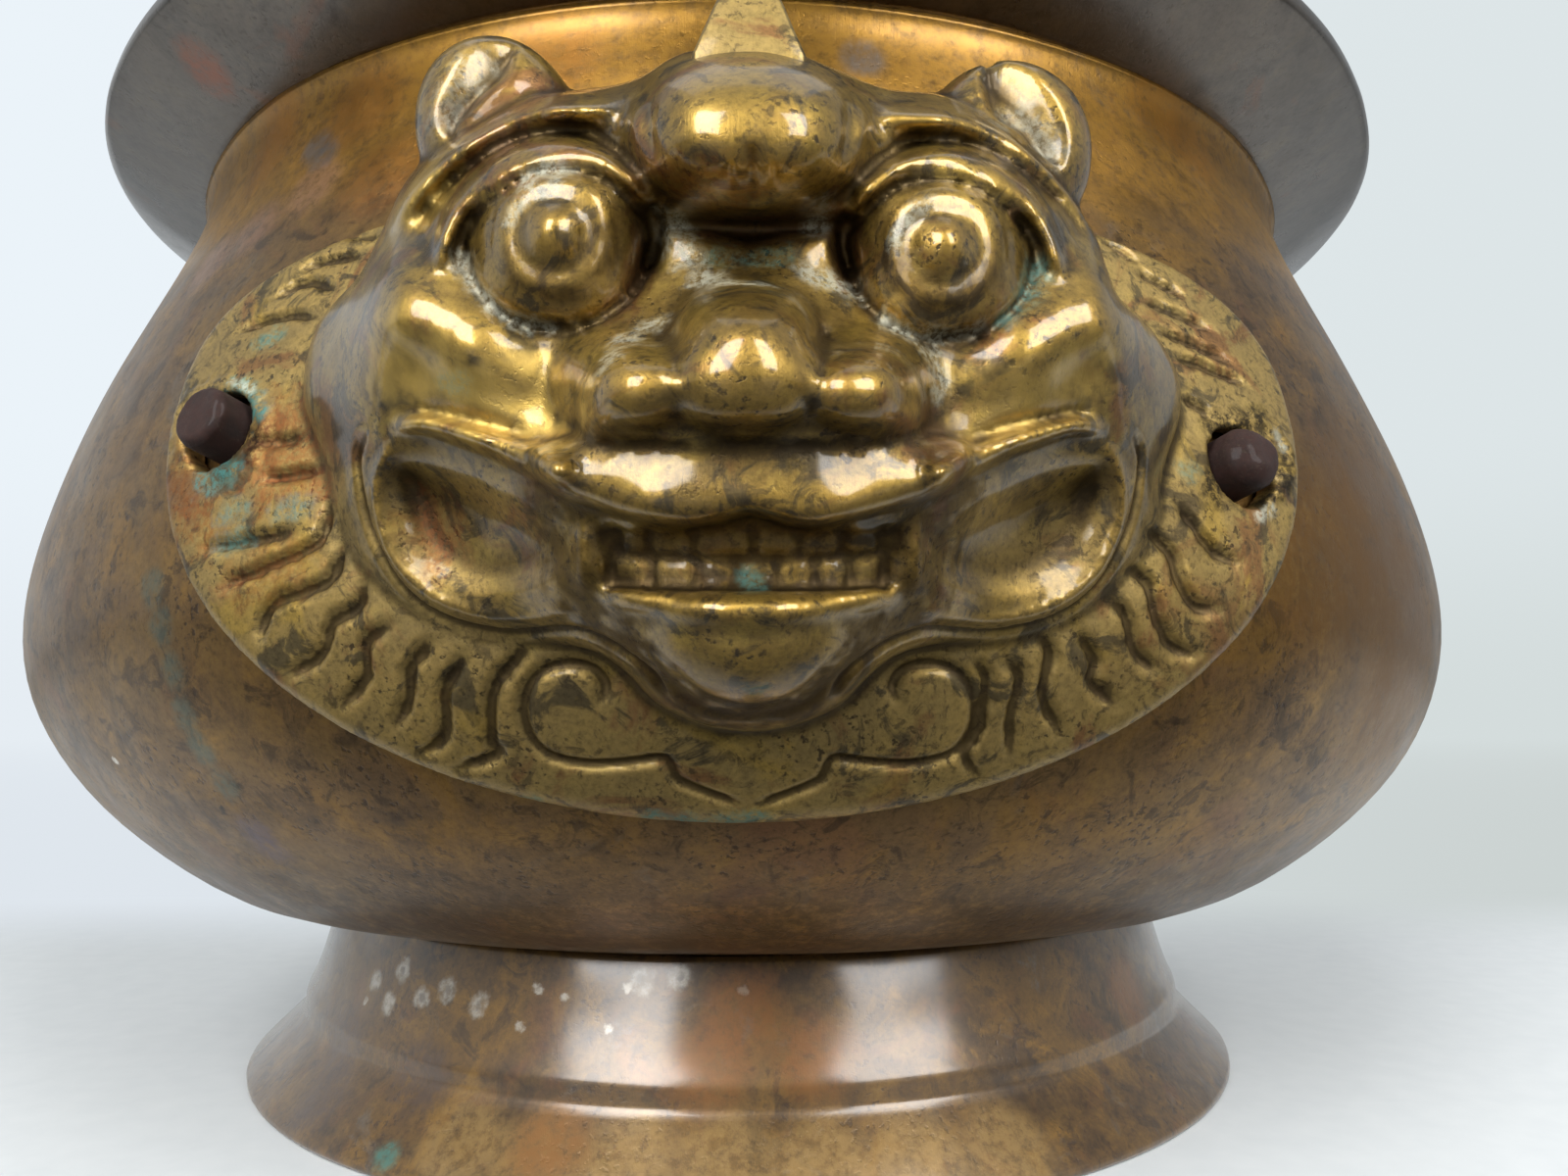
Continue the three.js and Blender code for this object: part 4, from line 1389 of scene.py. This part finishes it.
# The masks and horns: bronze rubbed golden, olive brown on the mane
maskLook = {
    **bowlLook,
    "cloudSize": 16, "clouds": [(0.32, "#4d3e22"), (0.45, "#7c6431"), (0.58, "#8d7334"), (0.7, "#5c4c2b")],
    "mottleSize": 3.6, "mottle": [(0.34, "#463a24"), (0.5, "#7c6535"), (0.66, "#9c843f")],
    "patches": [
        (2.6, 13, 0.54, 0.63, 0.7, "#6e462a"),    # reddish brown
        (3.9, 6, 0.54, 0.61, 0.8, "#3e3728"),     # near black
        (5.1, 15, 0.56, 0.66, 0.6, "#a0843a"),    # gold
        (6.3, 2.6, 0.57, 0.64, 0.6, "#453a26"),   # small dark blotches
    ],
    "grainSize": 0.6, "gritShare": 0.65, "bump": 0.4, "hairs": 0.2, "waveSize": 4.5, "wave": 0.6,
    "speckSize": 0.7, "speck": "#2e2519", "speckShare": 0.85, "bands": [], "marks": [],
    "rough": (0.38, 0.52), "metal": 0.88, "wax": 0.75, "waxRough": 0.12,
    "brass": "#a38238", "mane": "#968253", "dirt": "#372c1d",
    "stains": [    # mark, colour, amount
        ("gilt", "#c9a855", 0.7), ("rust", "#8a4c24", 0.7), ("grime", "#3a2c1a", 0.85),
        ("soot", "#14110f", 0.9), ("verdigris", "#35726b", 0.75), ("pale", "#a9aa98", 0.7),
    ],
}
# The studs: dull copper, nearly black
studLook = {
    **bowlLook,
    "cloudSize": 6, "clouds": [(0.3, "#140a07"), (0.5, "#2c130b"), (0.7, "#1c0f0b")],
    "mottleSize": 2.5, "mottle": [(0.3, "#0f0908"), (0.5, "#2c140c"), (0.7, "#1f1311")],
    "patches": [], "grainSize": 0.35, "speckSize": 0.3, "marks": [], "bands": [],
    "rough": (0.75, 0.9), "metal": 0.3, "wax": 0.08, "waxRough": 0.15,
}
bpy.context.view_layer.update()
studs = [piece for name, piece in maskGroup if "rivet" in name]
castings = [piece for name, piece in maskGroup if "rivet" not in name]
for finish, look, pieces in (
    ("brownPatinaBronze", bowlLook, [bowlPiece]),
    ("waxedBrownBronze", footLook, [footPiece]),
    ("greyPatinaBronze", lipLook, [lipPiece]),
    ("rubbedCastBronze", maskLook, castings),
    ("sootedCopper", studLook, studs),
):
    material = agedBronze(finish, look)
    for piece in pieces:
        piece.data.materials.append(material)
print("finishes made")


# Setting

setting = {
    "table": [(0, "#c6cbcd"), (1, "#d2d6d7")],
    "tableRough": 0.6,
    "shade": 0.12,           # the table's brightness on the camera's side, out of the picture
    "room": "#e8eef2",
    "dim": 0.24,             # how bright the room is on the camera's side
    "bright": 0.88,          # and everywhere else
    "rightShare": 0.62,      # the right is duller than the left
    "topShare": 0.4,         # and so is the ceiling
    "seen": {                # what the camera sees behind the vessel, on the left and on the right
        "high": ("#ebf3f9", "#dde5e7"), "horizon": ("#e6edf3", "#d4dcdc"), "low": ("#dfe6ed", "#ccd3d2"),
    },
    "lamps": {               # place and size in m, power in W
        "leftBox": ((-0.46, -0.83, 0.65), (0.50, 0.86), 17),
        "rightBox": ((0.557, -0.767, 0.65), (0.50, 0.86), 14.5),
        "topBox": ((0.0, 0.25, 1.1), (0.9, 0.6), 1),
    },
    "aim": (0, 0, 0.08),
}


def makeRoom():
    # pale all round, dimmer on the camera's side so that the metal has tone
    world = bpy.data.worlds.new("studio")
    bpy.context.scene.world = world
    add = startNodes(world)
    way = add("TexCoord", output="Generated")
    x, y, z = (add("SeparateXYZ", None, way, output=axis) for axis in "XYZ")
    across = add("MapRange", smooth, x, -0.55, 0.6)
    high, horizon = (add("Mix", mix, across, *setting["seen"][row]) for row in ("high", "horizon"))
    backdrop = add("Mix", mix, add("MapRange", smooth, z, 0.0, 0.22), horizon, high)
    front = add("MapRange", smooth, y, -0.85, 0.05, setting["dim"], setting["bright"])
    right = add("MapRange", smooth, x, -0.5, 0.9, 1.0, setting["rightShare"])
    above = add("MapRange", smooth, z, 0.25, 0.9, 1.0, setting["topShare"])
    level = add("Math", times, add("Math", times, front, right), above)
    room = add("Background", {"Color": setting["room"], "Strength": level})
    picture = add("Background", {"Color": backdrop, "Strength": 1.0})
    camera = add("LightPath", output="Is Camera Ray")
    add("OutputWorld", {"Surface": add("MixShader", None, camera, room, picture)})


def makeTable():
    # a pale, matt, even table top
    material = bpy.data.materials.new("paleTable")
    add = startNodes(material)
    place = add("TexCoord", output="Object")
    weave = add("TexNoise", {"Scale": 1 / (5 * mm), "Detail": 5, "Vector": place})
    tone = add("ValToRGB", {"stops": setting["table"]}, weave)
    # the bronze sees the table in shade on the camera's side, out of the picture
    x, y = (add("SeparateXYZ", None, place, output=axis) for axis in "XY")
    camera = add("LightPath", output="Is Camera Ray")
    level = add("Math", most, add("MapRange", smooth, y, -0.125, -0.072, setting["shade"], 1), camera)
    shaded = add("VectorMath", {"operation": "SCALE"}, tone, level)
    near = add("BsdfPrincipled", {"Roughness": setting["tableRough"], "Base Color": shaded})
    # far off, and where it comes towards the camera, the camera sees it fade into the backdrop: across by
    # the angle from the camera, and up to the backdrop's colour at the horizon
    behind, before = (add("MapRange", smooth, y, *ends) for ends in ((0.05, 0.14), (-0.075, -0.13)))
    fade = add("Math", most, behind, before)
    ahead = add("Math", {"operation": "ADD"}, y, cameraFit["distance"] * mm)
    depth = add("Math", {"operation": "MAXIMUM"}, ahead, 0.2)
    side = add("MapRange", smooth, add("Math", {"operation": "DIVIDE"}, x, depth), -0.65, 0.75)
    low, horizon = (add("Mix", mix, side, *setting["seen"][row]) for row in ("low", "horizon"))
    distant = add("Mix", mix, add("MapRange", smooth, y, 0.1, 2.2), low, horizon)
    far = add("Emission", {"Color": distant, "Strength": 1.0})
    both = add("MixShader", None, add("Math", times, fade, camera), near, far)
    add("OutputMaterial", {"Surface": both})
    bm = bmesh.new()
    bmesh.ops.create_grid(bm, x_segments=1, y_segments=1, size=3)
    table = newPiece("table", bm)
    table.data.materials.append(material)


def makeLamps():
    for name, (place, size, power) in setting["lamps"].items():
        data = bpy.data.lights.new(name, "AREA")
        data.shape = "RECTANGLE"
        data.size, data.size_y = size
        data.energy = power
        light = placed(name, data)
        light.location = place
        light.rotation_euler = (Vector(setting["aim"]) - light.location).to_track_quat("-Z", "Y").to_euler()


makeRoom()
makeTable()
makeLamps()
bpy.context.scene.view_settings.view_transform = "Standard"
print("setting made")
